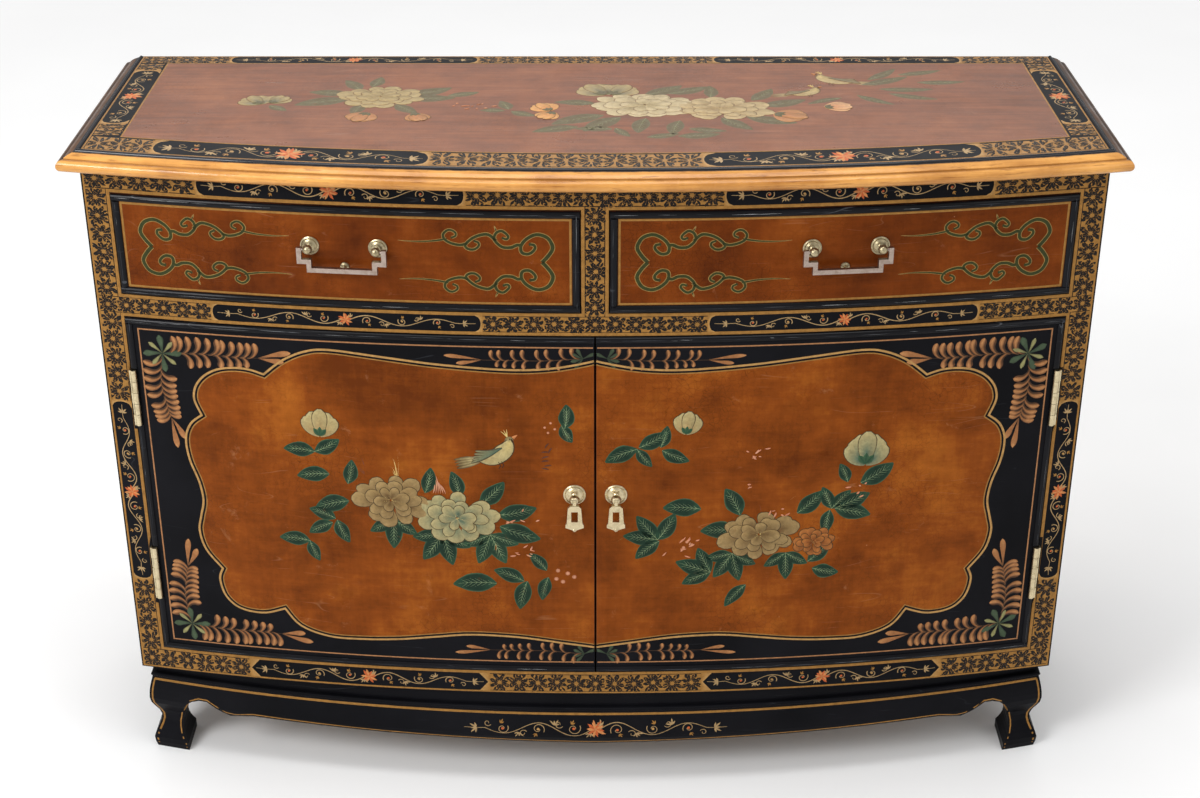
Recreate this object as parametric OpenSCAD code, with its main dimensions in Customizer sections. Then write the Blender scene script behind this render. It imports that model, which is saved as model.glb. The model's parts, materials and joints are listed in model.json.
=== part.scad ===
/* [Case] */
// Width of the case over its side panels
case_w = 1180; // [1000:10:1400]
// Depth of the overhanging top, from its back edge to the middle of the bowed front
top_depth = 437; // [420:1:500]
// Overall height from the floor to the bead on the top
overall_h = 850; // [800:5:900]
// Height of the underside of the case above the floor
base_h = 137.5; // [125:0.5:150]
// Radius of the bowed case front, seen from above
bow_r = 2787; // [2600:1:3200]
// Thickness of the side panels
side_t = 18; // [15:1:22]
// Width of the two front stiles
stile_w = 33; // [30:1:40]
// Depth of the front rails and the muntin behind the front face
rail_d = 45; // [40:1:50]

/* [Top] */
// How far the top stands out past the case at each side
top_side_overhang = 20; // [12:1:24]
// How far the top stands out past the bowed case front
top_front_overhang = 29.5; // [22:0.5:36]
// Thickness of the rounded nose at the edge of the top
nose_t = 14; // [10:1:16]
// Width of the moulding that frames the top
edge_w = 25; // [25:1:30]

/* [Front openings] */
// Height of the drawer openings
drawer_open_h = 127; // [110:1:140]
// Height of the rail above the drawers
top_rail_h = 30.5; // [26:0.5:36]
// Height of the rail between the drawers and the doors
mid_rail_h = 29; // [25:1:34]
// Height of the rail below the doors
bottom_rail_h = 34; // [28:1:40]
// Width of the muntin between the drawers
muntin_w = 32; // [28:1:40]

/* [Doors and drawers] */
// Gap all round each door and drawer front
gap = 1; // [0.8:0.1:1.5]
// Thickness of the doors
door_t = 19; // [17:1:20]
// Thickness of the drawer fronts
drawer_front_t = 20; // [18:1:22]
// Thickness of the drawer sides and backs
drawer_side_t = 12; // [10:1:13]
// Width of the half-round bead round each drawer front
drawer_bead_w = 9; // [7:0.5:10]
// Width of the half-round bead round the doors
door_bead_w = 8; // [7:0.5:9]
// How far the beads stand out from the face
bead_proud = 3.2; // [2.5:0.1:3.4]

/* [Handles and hinges] */
// Distance between the two posts of a bail handle
bail_centres = 79; // [70:1:90]
// Drop of a bail handle below its posts
bail_drop = 27; // [25:1:32]
// Thickness of the bail's bar
bail_bar = 5.5; // [5:0.5:6.5]
// Distance of each door pull from the meeting line of the doors
pull_x = 25; // [24:1:30]
// Height of the door pull pivots above the floor
pull_z = 430; // [420:1:440]
// Length of each hinge
hinge_len = 74; // [65:1:80]
// Height of the middle of the lower hinges above the floor
hinge_low_z = 287; // [260:1:300]
// Height of the middle of the upper hinges above the floor
hinge_high_z = 535; // [520:1:550]

/* [Base] */
// Half width of the base at its waist
base_half_w = 581; // [575:1:586]
// Radius of the bowed base front, seen from above
base_r = 2176; // [2100:1:2300]
// Width of each foot at the floor
foot_w = 44; // [40:1:50]
// How far the knee and the toe of the feet swell out
swell = 8; // [6:0.5:9]

/* [Hidden] */

$fn = 64;
arc_fn = 720;

black = "#15151a";
rust = "#7d3a14";
honey = "#c9954e";
walnut = "#7a4a24";
pine = "#b88a56";
brass = "#c8b88c";
nickel = "#96826f";

// Heights above the floor
case_top = overall_h - 22.5;
top_flat = overall_h - 1;
drawer_z1 = case_top - top_rail_h;
drawer_z0 = drawer_z1 - drawer_open_h;
door_z1 = drawer_z0 - mid_rail_h;
door_z0 = base_h + bottom_rail_h;

// Plan: x is 0 at the middle, y is 0 halfway between the bow's nose and the back edge
half_w = case_w / 2;
nose_half_w = half_w + top_side_overhang;
nose_r = bow_r + top_front_overhang;
front_y = -top_depth / 2 + top_front_overhang;
bow_cy = front_y + bow_r;
top_back_y = top_depth / 2;
case_back_y = top_back_y - 8.5;
back_t = 8;
inner_back_y = case_back_y - back_t;
inner_half_w = half_w - side_t;
open_half_w = half_w - stile_w;
rail_in_r = bow_r - rail_d;
stile_back_y = bow_cy - sqrt(pow(rail_in_r, 2) - pow(open_half_w, 2));
reach = 2 * half_w;

// Base
base_front_y = front_y + 2;
base_cy = base_front_y + base_r;
base_corner_y = base_cy - sqrt(pow(base_r, 2) - pow(base_half_w, 2));
base_back_y = case_back_y - 5;
apron_top = base_h - 21.5;
apron_t = 22;
waist_t = 20;
waist_in = 3;
bead_r = 2.5;
toe_z = 12;
knee_z = 78;
foot_inner_x = base_half_w - 36;
foot_inner_y = base_corner_y + 36;
back_foot_y = base_back_y - 40;
block = 28;

// Boards inside the case
board_t = 12;
board_setback = 2;
bottom_t = 14;
shelf_t = 16;
shelf_z = door_z0 + 224;
shelf_pin_r = 3;
pin_sink = 8;
pin_out = 10;
partition_t = 18;
guide_h = 15;
kicker_w = 30;
screw_r = 3.5;

// Drawers
drawer_x0 = muntin_w / 2 + gap;
drawer_x1 = open_half_w - gap;
drawer_mid = (open_half_w + muntin_w / 2) / 2;
drawer_back_y = inner_back_y - 22;
drawer_side_z0 = drawer_z0 + 0.5;
drawer_side_z1 = drawer_z1 - 2;
drawer_bottom_t = 6;
drawer_bottom_z = drawer_z0 + 7;
groove = 4;

// Bail handles, in a frame set square to the bow at the middle of a drawer
bail_angle = asin(drawer_mid / bow_r);
bail_face_y = bow_cy - sqrt(pow(bow_r, 2) - pow(drawer_mid, 2));
bail_z = drawer_z0 + 77;
bail_out = 13;
bail_pin_r = 2;
run_clear = 0.05;
shank_r = 2.5;
nut_t = 4;
strike_z = bail_z - bail_drop + bail_bar / 2;

// Door pulls
pull_out = 13;
pull_pin_r = 1.25;
pull_t = 4;
pull_face_y = front_y;

// Hinges: the axis stands in front of the face, just inside the door's outer edge
hinge_x = open_half_w - 4;
hinge_y = bow_cy - sqrt(pow(bow_r, 2) - pow(hinge_x, 2)) - 4;
knuckle_r = 3.5;
hinge_pin_r = 1.5;
leaf_t = 1.2;
leaf_d = 22;
knuckles = 5;
knuckle_gap = 0.5;
hinge_clear = 1;

// Half-round of radius 1, for mouldings: points from one side over the top to the other
function half_round(cx, cy, r, from, to, steps) =
  [for (i = [0:steps]) let (a = from + (to - from) * i / steps) [cx + r * cos(a), cy + r * sin(a)]];

// How far the base swells out past its waist line at height z
function swell_at(z) =
  z < toe_z ? swell - 3 * (toe_z - z) / toe_z :
  z < knee_z ? swell * 0.28 + swell * 0.72 * cos(360 * (z - toe_z) / (knee_z - toe_z)) :
  swell * cos(90 * (z - knee_z) / (apron_top - knee_z));

// How far inside the foot's inner line the ankle is waisted at height z
function ankle_at(z) =
  z < toe_z ? -(foot_w - 36 - 5) :
  z < 60 ? -3 + 7 * sin(180 * (z - toe_z) / (60 - toe_z)) :
  0;

module box(x0, x1, y0, y1, z0, z1) {
  translate([x0, y0, z0]) cube([x1 - x0, y1 - y0, z1 - z0]);
}

// Both sides of a symmetrical piece
module both_sides() {
  children();
  mirror([1, 0, 0]) children();
}

// Everything behind an arc of radius r that is concentric with the case front
module behind_bow(r, z0, z1) {
  translate([0, bow_cy, z0]) cylinder(r = r, h = z1 - z0, $fn = arc_fn);
}

// A bowed board between two arcs, cut to a width
module bowed_board(r0, r1, x0, x1, z0, z1) {
  intersection() {
    difference() {
      behind_bow(r1, z0, z1);
      behind_bow(r0, z0 - 1, z1 + 1);
    }
    box(x0, x1, -reach, 0, z0 - 1, z1 + 1);
  }
}

// Section of the top's edge: distance in from the nose, height above the floor
function edge_section() = concat(
  [[edge_w, case_top], [nose_t / 2, case_top]],
  half_round(nose_t / 2, case_top + nose_t / 2, nose_t / 2, 260, 100, 12),
  [
    [nose_t / 2 + 1.5, case_top + nose_t],
    [nose_t / 2 + 1.5, case_top + nose_t + 1.5],
    [nose_t / 2 + 6, case_top + nose_t + 4.2],
    [nose_t / 2 + 12, case_top + nose_t + 6.2],
    [edge_w - 2 * bead_r, top_flat - 1.5]
  ],
  half_round(edge_w - bead_r, top_flat - 1.5, bead_r, 165, 0, 8)
);

// Turn of the mitre plane between the bowed front edge and a straight side edge
corner_turn = asin(nose_half_w / nose_r);
mitre_turn = (90 - corner_turn) / 2;
nose_corner_y = bow_cy - sqrt(pow(nose_r, 2) - pow(nose_half_w, 2));

// Everything on the front side of the mitre planes at the two front corners
module front_of_mitres() {
  intersection_for (s = [-1, 1])
    translate([s * nose_half_w, nose_corner_y, case_top - 1])
      rotate([0, 0, -s * mitre_turn])
        translate([-2 * reach, -2 * reach, 0]) cube([4 * reach, 2 * reach, 40]);
}

module top_panel() {
  color(rust) intersection() {
    behind_bow(nose_r - edge_w, case_top, top_flat);
    box(-nose_half_w + edge_w, nose_half_w - edge_w, -reach, top_back_y - edge_w,
        case_top - 1, top_flat + 1);
  }
}

module top_edge_front() {
  color(honey) intersection() {
    translate([0, bow_cy, 0]) rotate_extrude($fn = arc_fn)
      polygon([for (p = edge_section()) [nose_r - p[0], p[1]]]);
    front_of_mitres();
  }
}

// A straight length of the edge moulding along the right-hand side, cut square at the back
module side_edge() {
  difference() {
    translate([nose_half_w, top_back_y, 0]) rotate([90, 0, 0])
      linear_extrude(height = 2 * top_depth) polygon([for (p = edge_section()) [-p[0], p[1]]]);
    front_of_mitres();
  }
}

module top_edge_sides() {
  color(walnut) both_sides() side_edge();
}

// The edge against the wall has no moulding: a flat strip fills it up to the two side edges
module top_edge_back() {
  color(black) box(-nose_half_w + edge_w, nose_half_w - edge_w, top_back_y - edge_w, top_back_y,
                   case_top, top_flat);
}

module side_panel() {
  difference() {
    box(inner_half_w, half_w, stile_back_y, case_back_y, base_h, case_top);
    shelf_pin_places() cylinder(r = shelf_pin_r, h = 2 * pin_sink, center = true);
  }
}

module side_panel_left() {
  color(black) mirror([1, 0, 0]) side_panel();
}

module side_panel_right() {
  color(black) side_panel();
}

module back_panel() {
  color(pine) box(-inner_half_w, inner_half_w, inner_back_y, case_back_y, base_h, case_top);
}

// A level board filling the case behind the rails
module level_board(z0, z1) {
  intersection() {
    behind_bow(rail_in_r, z0, z1);
    union() {
      box(-inner_half_w, inner_half_w, stile_back_y + board_setback, inner_back_y, z0 - 1, z1 + 1);
      box(-open_half_w, open_half_w, -reach, 0, z0 - 1, z1 + 1);
    }
  }
}

module bottom_panel() {
  color(pine) level_board(door_z0 - bottom_t, door_z0);
}

module dust_board() {
  color(pine) level_board(drawer_z0 - board_t, drawer_z0);
}

module drawer_partition() {
  color(pine) intersection() {
    behind_bow(rail_in_r, drawer_z0, case_top);
    box(-partition_t / 2, partition_t / 2, -reach, inner_back_y, drawer_z0 - 1, case_top + 1);
  }
}

module drawer_guides() {
  color(walnut) both_sides() {
    box(drawer_x1 + 0.5, inner_half_w, stile_back_y, inner_back_y, drawer_z0, drawer_z0 + guide_h);
    box(partition_t / 2, drawer_x0 - 0.5, -80, inner_back_y, drawer_z0, drawer_z0 + guide_h);
  }
}

module drawer_kickers() {
  color(walnut) both_sides() {
    box(inner_half_w - kicker_w, inner_half_w, stile_back_y, inner_back_y, drawer_z1, case_top);
    box(partition_t / 2, partition_t / 2 + kicker_w, -80, inner_back_y, drawer_z1, case_top);
  }
}

module shelf() {
  color(pine) intersection() {
    behind_bow(rail_in_r - 15, shelf_z, shelf_z + shelf_t);
    box(-inner_half_w + 1, inner_half_w - 1, -reach, inner_back_y - 1, shelf_z - 1,
        shelf_z + shelf_t + 1);
  }
}

// The two shelf pin positions at the right-hand side, each lying along x
module shelf_pin_places() {
  for (y = [-40, 140])
    translate([inner_half_w, y, shelf_z - shelf_pin_r]) rotate([0, 90, 0]) children();
}

module shelf_pins() {
  color(brass) both_sides() shelf_pin_places()
    translate([0, 0, -pin_out]) cylinder(r = shelf_pin_r, h = pin_out + pin_sink);
}

module stile() {
  difference() {
    intersection() {
      behind_bow(bow_r, base_h, case_top);
      box(open_half_w, half_w, -reach, stile_back_y, base_h - 1, case_top + 1);
    }
    for (z = [hinge_low_z, hinge_high_z])
      box(open_half_w - 1, open_half_w + leaf_t, hinge_y, hinge_y + 4 + leaf_d,
          z - hinge_len / 2, z + hinge_len / 2);
  }
}

module stile_left() {
  color(black) mirror([1, 0, 0]) stile();
}

module stile_right() {
  color(black) stile();
}

module rail(z0, z1) {
  bowed_board(rail_in_r, bow_r, -open_half_w, open_half_w, z0, z1);
}

module rail_top() {
  color(black) rail(drawer_z1, case_top);
}

module rail_middle() {
  color(black) rail(door_z1, drawer_z0);
}

module rail_bottom() {
  color(black) rail(base_h, door_z0);
}

module muntin() {
  color(black) bowed_board(rail_in_r, bow_r, -muntin_w / 2, muntin_w / 2, drawer_z0, drawer_z1);
}

// Magnetic catches under the middle rail, one behind the free corner of each door
catch_x = 22;
catch_len = 36;
catch_h = 14;
catch_plate_t = 1.5;

module door_catches() {
  color(walnut) both_sides()
    bowed_board(rail_in_r + 3, bow_r - door_t - catch_plate_t - 0.5, catch_x, catch_x + catch_len,
                door_z1 - catch_h, door_z1);
}

// Screws that hold the back panel, with flat heads standing 1.5 mm proud
module back_screws() {
  color(brass)
    for (x = [-540, -180, 180, 540], z = [base_h + 16, case_top - 16])
      translate([x, case_back_y, z]) rotate([-90, 0, 0]) cylinder(r = screw_r, h = 1.5);
}

// A hinge knuckle: number i of the stack that is centred on height z
knuckle_len = (hinge_len - knuckle_gap * (knuckles - 1)) / knuckles;

module knuckle(z, i, bore_r) {
  translate([hinge_x, hinge_y, z - hinge_len / 2 + i * (knuckle_len + knuckle_gap)])
    difference() {
      children();
      translate([0, 0, -1]) cylinder(r = bore_r, h = knuckle_len + 2);
    }
}

// Right-hand case leaf: a plate let into the stile, turned forward to the odd knuckles
module case_leaf(z) {
  box(open_half_w, open_half_w + leaf_t, hinge_y + 0.6, hinge_y + 4 + leaf_d,
      z - hinge_len / 2, z + hinge_len / 2);
  for (i = [0:2:knuckles - 1])
    knuckle(z, i, hinge_pin_r) union() {
      cylinder(r = knuckle_r, h = knuckle_len);
      translate([0, -0.6, 0]) cube([open_half_w + leaf_t - hinge_x, 1.2, knuckle_len]);
    }
}

// Right-hand door leaf: a plate let into the door's edge, reaching forward to the even knuckles
module door_leaf(z) {
  box(drawer_x1 - leaf_t, drawer_x1, hinge_y + 4.8, hinge_y + 4 + leaf_d,
      z - hinge_len / 2, z + hinge_len / 2);
  for (i = [1:2:knuckles - 1])
    knuckle(z, i, hinge_pin_r + run_clear) union() {
      cylinder(r = knuckle_r, h = knuckle_len);
      translate([drawer_x1 - leaf_t - hinge_x, 1.6, 0]) cube([leaf_t, 4, knuckle_len]);
    }
}

module hinge_leaves_case() {
  color(brass) both_sides() for (z = [hinge_low_z, hinge_high_z]) case_leaf(z);
}

module hinge_pins() {
  color(brass) both_sides() for (z = [hinge_low_z, hinge_high_z])
    translate([hinge_x, hinge_y, z - hinge_len / 2]) cylinder(r = hinge_pin_r, h = hinge_len);
}

// Base -------------------------------------------------------------------------------------

// Outer line of the base from the top of the apron down to height z_low: swell and height
function base_section(z_low, steps) = concat(
  half_round(1, apron_top - bead_r, bead_r, 90, -60, 6),
  [for (i = [0:steps]) let (z = (apron_top - 6) + (z_low - apron_top + 6) * i / steps)
    [swell_at(z), z]]
);

// Everything behind the swelling base front
module behind_base_front(z_low) {
  translate([0, base_cy, 0]) rotate_extrude($fn = arc_fn)
    polygon(concat([[base_r - 4 * apron_t, z_low], [base_r - 4 * apron_t, apron_top]],
                   [for (p = base_section(z_low, 14)) [base_r + p[0], p[1]]]));
}

// Everything inside the swelling right-hand side of the base, along y
module inside_base_side(z_low, y0, y1, depth) {
  translate([base_half_w, y1, 0]) rotate([90, 0, 0]) linear_extrude(height = y1 - y0)
    polygon(concat([[-depth, z_low], [-depth, apron_top]], base_section(z_low, 14)));
}

arch_low = 45;
arch_top = 86;
cusp_z = 67;
apron_shoulder_z = 73;

// Scalloped cut under an apron of half length h whose middle hangs down to z_mid
module scallop(h, z_mid) {
  d = h - 30;
  polygon(concat(
    [[-h, -1], [-h, arch_low], [-h, 60]],
    [for (a = [20:20:100]) [-d - 30 * cos(a), 60 + (arch_top - 60) * sin(a)]],
    [[-d + 20, 76], [-d + 36, cusp_z], [-d + 68, apron_shoulder_z], [0, z_mid]],
    [[d - 68, apron_shoulder_z], [d - 36, cusp_z], [d - 20, 76]],
    [for (a = [100:-20:20]) [d + 30 * cos(a), 60 + (arch_top - 60) * sin(a)]],
    [[h, 60], [h, arch_low], [h, -1]]
  ));
}

module apron_front() {
  color(black) difference() {
    intersection() {
      behind_base_front(arch_low);
      box(-foot_inner_x, foot_inner_x, -reach, 0, arch_low - 1, apron_top + 1);
    }
    translate([0, base_cy, 0]) cylinder(r = base_r - apron_t, h = base_h, $fn = arc_fn);
    rotate([90, 0, 0]) linear_extrude(height = reach) scallop(foot_inner_x, 61);
  }
}

module apron_side() {
  mid_y = (foot_inner_y + back_foot_y) / 2;
  difference() {
    inside_base_side(arch_low, foot_inner_y, back_foot_y, apron_t);
    translate([0, mid_y, 0]) rotate([90, 0, 90]) linear_extrude(height = reach)
      scallop((back_foot_y - foot_inner_y) / 2, apron_shoulder_z);
  }
}

module apron_sides() {
  color(black) both_sides() apron_side();
}

module apron_back() {
  color(black) box(-foot_inner_x, foot_inner_x, base_back_y - apron_t, base_back_y, 80, apron_top);
}

module waist_frame() {
  color(black) {
    intersection() {
      translate([0, base_cy, apron_top]) difference() {
        cylinder(r = base_r - waist_in, h = base_h - apron_top, $fn = arc_fn);
        translate([0, 0, -1])
          cylinder(r = base_r - waist_in - waist_t, h = base_h - apron_top + 2, $fn = arc_fn);
      }
      box(-base_half_w + waist_in, base_half_w - waist_in, -reach, 0, 0, base_h + 1);
    }
    box(-base_half_w + waist_in, base_half_w - waist_in, base_back_y - waist_t, base_back_y,
        apron_top, base_h);
    both_sides() difference() {
      box(base_half_w - waist_in - waist_t, base_half_w - waist_in, base_corner_y - 40,
          base_back_y - waist_t, apron_top, base_h);
      difference() {
        box(0, reach, -reach, 0, 0, base_h + 1);
        translate([0, base_cy, -1])
          cylinder(r = base_r - waist_in - waist_t, h = base_h + 3, $fn = arc_fn);
      }
    }
  }
}

// Outline that the foot's two inner faces follow, as distance in from the waist line and height
function foot_inner(line, top) = concat(
  [for (z = [0:6:60]) [line + ankle_at(z), z]],
  [[line, 66], [line, top]]
);

// Everything outside the foot's inner line, seen from the front, at the right-hand side
module foot_front_view() {
  translate([0, reach, 0]) rotate([90, 0, 0]) linear_extrude(height = 2 * reach)
    polygon(concat([[base_half_w + 20, apron_top], [base_half_w + 20, 0]],
                   foot_inner(foot_inner_x, apron_top)));
}

module foot_front() {
  intersection() {
    foot_front_view();
    behind_base_front(0);
    inside_base_side(0, -reach, reach, 100);
    rotate([90, 0, 90]) linear_extrude(height = reach)
      polygon(concat([[-reach, apron_top], [-reach, 0]],
                     [for (p = foot_inner(0, apron_top)) [foot_inner_y - p[0], p[1]]]));
  }
}

module foot_back() {
  intersection() {
    foot_front_view();
    inside_base_side(0, -reach, reach, 100);
    rotate([90, 0, 90]) linear_extrude(height = reach)
      polygon(concat([[base_back_y, apron_top], [base_back_y, 0]],
                     [for (p = foot_inner(0, apron_top)) [back_foot_y + p[0], p[1]]]));
  }
}

module foot_front_left() {
  color(black) mirror([1, 0, 0]) foot_front();
}

module foot_front_right() {
  color(black) foot_front();
}

module foot_back_left() {
  color(black) mirror([1, 0, 0]) foot_back();
}

module foot_back_right() {
  color(black) foot_back();
}

// Glue blocks in the corners, against the aprons and the feet
module corner_blocks() {
  color(pine) both_sides() {
    intersection() {
      box(foot_inner_x - block, foot_inner_x, -reach, foot_inner_y, 92, apron_top);
      translate([0, base_cy, 0]) cylinder(r = base_r - apron_t, h = base_h, $fn = arc_fn);
    }
    box(foot_inner_x - block, foot_inner_x, base_back_y - apron_t - block / 2,
        base_back_y - apron_t, 92, apron_top);
  }
}

// Drawers, drawn at the right-hand side -----------------------------------------------------

// Places children in the frame of a bail: x along the bow, y away from the room, z up
module bail_frame() {
  translate([drawer_mid, bail_face_y, bail_z]) rotate([0, 0, bail_angle]) children();
}

module drawer_front() {
  difference() {
    bowed_board(bow_r - drawer_front_t, bow_r, drawer_x0, drawer_x1, drawer_z0 + gap,
                drawer_z1 - gap);
    bail_frame() for (s = [-1, 1])
      translate([s * bail_centres / 2, 0, 0]) rotate([90, 0, 0])
        cylinder(r = shank_r, h = 100, center = true);
    drawer_floor_space();
  }
}

// The space that the drawer's bottom board takes, grooves included
module drawer_floor_space() {
  intersection() {
    behind_bow(bow_r - drawer_front_t + groove, drawer_bottom_z, drawer_bottom_z + drawer_bottom_t);
    box(drawer_x0 + drawer_side_t - groove, drawer_x1 - drawer_side_t + groove, -reach,
        drawer_back_y, drawer_bottom_z - 1, drawer_bottom_z + drawer_bottom_t + 1);
  }
}

module drawer_sides() {
  difference() {
    intersection() {
      behind_bow(bow_r - drawer_front_t, drawer_side_z0, drawer_side_z1);
      union() {
        box(drawer_x0, drawer_x0 + drawer_side_t, -reach, drawer_back_y, drawer_side_z0 - 1,
            drawer_side_z1 + 1);
        box(drawer_x1 - drawer_side_t, drawer_x1, -reach, drawer_back_y, drawer_side_z0 - 1,
            drawer_side_z1 + 1);
      }
    }
    drawer_floor_space();
  }
}

module drawer_back() {
  box(drawer_x0 + drawer_side_t, drawer_x1 - drawer_side_t, drawer_back_y - drawer_side_t,
      drawer_back_y, drawer_bottom_z + drawer_bottom_t, drawer_side_z1 - 8);
}

// Half-round bead along x on the bowed face, between heights z0 and z1
module level_bead(x0, x1, z0, z1) {
  w = z1 - z0;
  intersection() {
    translate([0, bow_cy, (z0 + z1) / 2]) rotate_extrude($fn = arc_fn)
      polygon([for (i = [0:8]) let (a = -90 + 180 * i / 8)
        [bow_r + bead_proud * cos(a), w / 2 * sin(a)]]);
    box(x0, x1, -reach, 0, z0 - 1, z1 + 1);
  }
}

// Half-round bead standing up the face, between x0 and x1
module upright_bead(x0, x1, z0, z1) {
  xm = (x0 + x1) / 2;
  w = x1 - x0;
  turn = asin(xm / bow_r);
  intersection() {
    translate([xm, bow_cy - sqrt(pow(bow_r, 2) - pow(xm, 2)), z0]) rotate([0, 0, turn])
      linear_extrude(height = z1 - z0)
        polygon([for (i = [0:8]) let (a = 180 + 180 * i / 8)
          [w / 2 * cos(a), 0.05 + bead_proud * sin(a)]]);
    box(x0, x1, -reach, 0, z0 - 1, z1 + 1);
  }
}

module drawer_bead() {
  x0 = drawer_x0;
  x1 = drawer_x1;
  z0 = drawer_z0 + gap;
  z1 = drawer_z1 - gap;
  w = drawer_bead_w;
  difference() {
    union() {
      level_bead(x0, x1, z0, z0 + w);
      level_bead(x0, x1, z1 - w, z1);
      upright_bead(x0, x0 + w, z0 + w, z1 - w);
      upright_bead(x1 - w, x1, z0 + w, z1 - w);
    }
    behind_bow(bow_r, z0 - 1, z1 + 1);
  }
}

// A turned post that stands out of the face along -y: rosette, stem, ball and threaded shank
module turned_post(rosette_r, ball_r, out, shank_l) {
  rotate([90, 0, 0]) union() {
    rotate_extrude() polygon([
      [0, 0], [rosette_r, 0], [rosette_r, 1], [rosette_r - 1.5, 2], [rosette_r - 3, 1.6],
      [rosette_r - 5, 3], [shank_r + 1, 3.6], [shank_r, 4.5], [shank_r, out], [0, out]
    ]);
    translate([0, 0, out]) sphere(r = ball_r);
    translate([0, 0, -shank_l]) cylinder(r = shank_r, h = shank_l + 0.5);
  }
}

// A hexagon nut on a shank that runs along y
module shank_nut(y) {
  translate([0, y, 0]) rotate([-90, 0, 0]) difference() {
    cylinder(r = 5.2, h = nut_t, $fn = 6);
    translate([0, 0, -1]) cylinder(r = shank_r, h = nut_t + 2);
  }
}

module bail_posts() {
  bail_frame() {
    for (s = [-1, 1]) translate([s * bail_centres / 2, 0, 0]) {
      difference() {
        turned_post(11, 5.5, bail_out, drawer_front_t + nut_t + 2);
        translate([0, -bail_out, 0]) rotate([0, 90, 0])
          cylinder(r = bail_pin_r + run_clear, h = 20, center = true);
      }
      shank_nut(drawer_front_t + 0.4);
    }
    translate([0, -0.3, strike_z - bail_z]) rotate([90, 0, 0]) union() {
      rotate_extrude() polygon([[0, 0], [5.5, 0], [5, 1.5], [2.6, 2.5], [2.2, 6.5], [0, 7.5]]);
    }
  }
}

// A square bar between two points in the xz plane
module bar(x0, x1, z0, z1) {
  h = bail_bar / 2;
  translate([min(x0, x1) - h, -h, min(z0, z1) - h])
    cube([abs(x1 - x0) + 2 * h, 2 * h, abs(z1 - z0) + 2 * h]);
}

// A stepped bail: out past the posts, down, in by a step, down again and across the bottom
module bail() {
  wide = bail_centres / 2 + 9.5;
  step_x = wide - 11;
  step_z = -14;
  low = -bail_drop + bail_bar / 2;
  bail_frame() translate([0, -bail_out, 0]) {
    for (s = [-1, 1]) {
      bar(s * wide, s * wide, 0, step_z);
      bar(s * wide, s * step_x, step_z, step_z);
      bar(s * step_x, s * step_x, step_z, low);
      translate([s * (bail_centres / 2 - 4), 0, 0]) rotate([0, s * 90, 0])
        cylinder(r = bail_pin_r, h = wide - bail_centres / 2 + 4);
    }
    bar(-step_x, step_x, low, low);
  }
}

module drawer_left_front() {
  color(rust) mirror([1, 0, 0]) drawer_front();
}

module drawer_right_front() {
  color(rust) drawer_front();
}

module drawer_left_bead() {
  color(black) mirror([1, 0, 0]) drawer_bead();
}

module drawer_right_bead() {
  color(black) drawer_bead();
}

module drawer_left_sides() {
  color(pine) mirror([1, 0, 0]) drawer_sides();
}

module drawer_right_sides() {
  color(pine) drawer_sides();
}

module drawer_left_back() {
  color(pine) mirror([1, 0, 0]) drawer_back();
}

module drawer_right_back() {
  color(pine) drawer_back();
}

module drawer_left_bottom() {
  color(pine) mirror([1, 0, 0]) drawer_floor_space();
}

module drawer_right_bottom() {
  color(pine) drawer_floor_space();
}

module drawer_left_bail_posts() {
  color(nickel) mirror([1, 0, 0]) bail_posts();
}

module drawer_right_bail_posts() {
  color(nickel) bail_posts();
}

module drawer_left_bail() {
  color(nickel) mirror([1, 0, 0]) bail();
}

module drawer_right_bail() {
  color(nickel) bail();
}

// Doors, drawn at the right-hand side -------------------------------------------------------

door_x0 = gap;
door_x1 = drawer_x1;

module door_panel() {
  difference() {
    bowed_board(bow_r - door_t, bow_r, door_x0, door_x1, door_z0 + gap, door_z1 - gap);
    for (z = [hinge_low_z, hinge_high_z])
      box(door_x1 - leaf_t, door_x1 + 1, hinge_y, hinge_y + 4 + leaf_d,
          z - hinge_len / 2, z + hinge_len / 2);
    translate([pull_x, 0, pull_z]) rotate([90, 0, 0]) cylinder(r = shank_r, h = reach);
  }
}

module door_bead() {
  z0 = door_z0 + gap;
  z1 = door_z1 - gap;
  w = door_bead_w;
  difference() {
    union() {
      level_bead(door_x0, door_x1, z0, z0 + w);
      level_bead(door_x0, door_x1, z1 - w, z1);
      upright_bead(door_x1 - w, door_x1, z0 + w, z1 - w);
    }
    behind_bow(bow_r, z0 - 1, z1 + 1);
    for (z = [hinge_low_z, hinge_high_z])
      box(door_x1 - w - 1, door_x1 + 1, -reach, 0, z - hinge_len / 2 - hinge_clear,
          z + hinge_len / 2 + hinge_clear);
  }
}

module door_hinge_leaves() {
  for (z = [hinge_low_z, hinge_high_z]) door_leaf(z);
}

module catch_plate() {
  bowed_board(bow_r - door_t - catch_plate_t, bow_r - door_t, catch_x, catch_x + catch_len,
              door_z1 - catch_h, door_z1 - 2);
}

// Post of a door pull: its ball is slotted for the pull's tongue and carries a pin along x
module pull_post() {
  translate([pull_x, pull_face_y - 0.02, pull_z]) {
    difference() {
      turned_post(13.5, 6, pull_out, door_t + nut_t + 2);
      translate([-pull_t / 2 - 0.3, -pull_out - 8, -8]) cube([pull_t + 0.6, 13, 16]);
    }
    translate([-5, -pull_out, 0]) rotate([0, 90, 0]) cylinder(r = pull_pin_r, h = 10);
    shank_nut(door_t + 0.4);
  }
}

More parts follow.
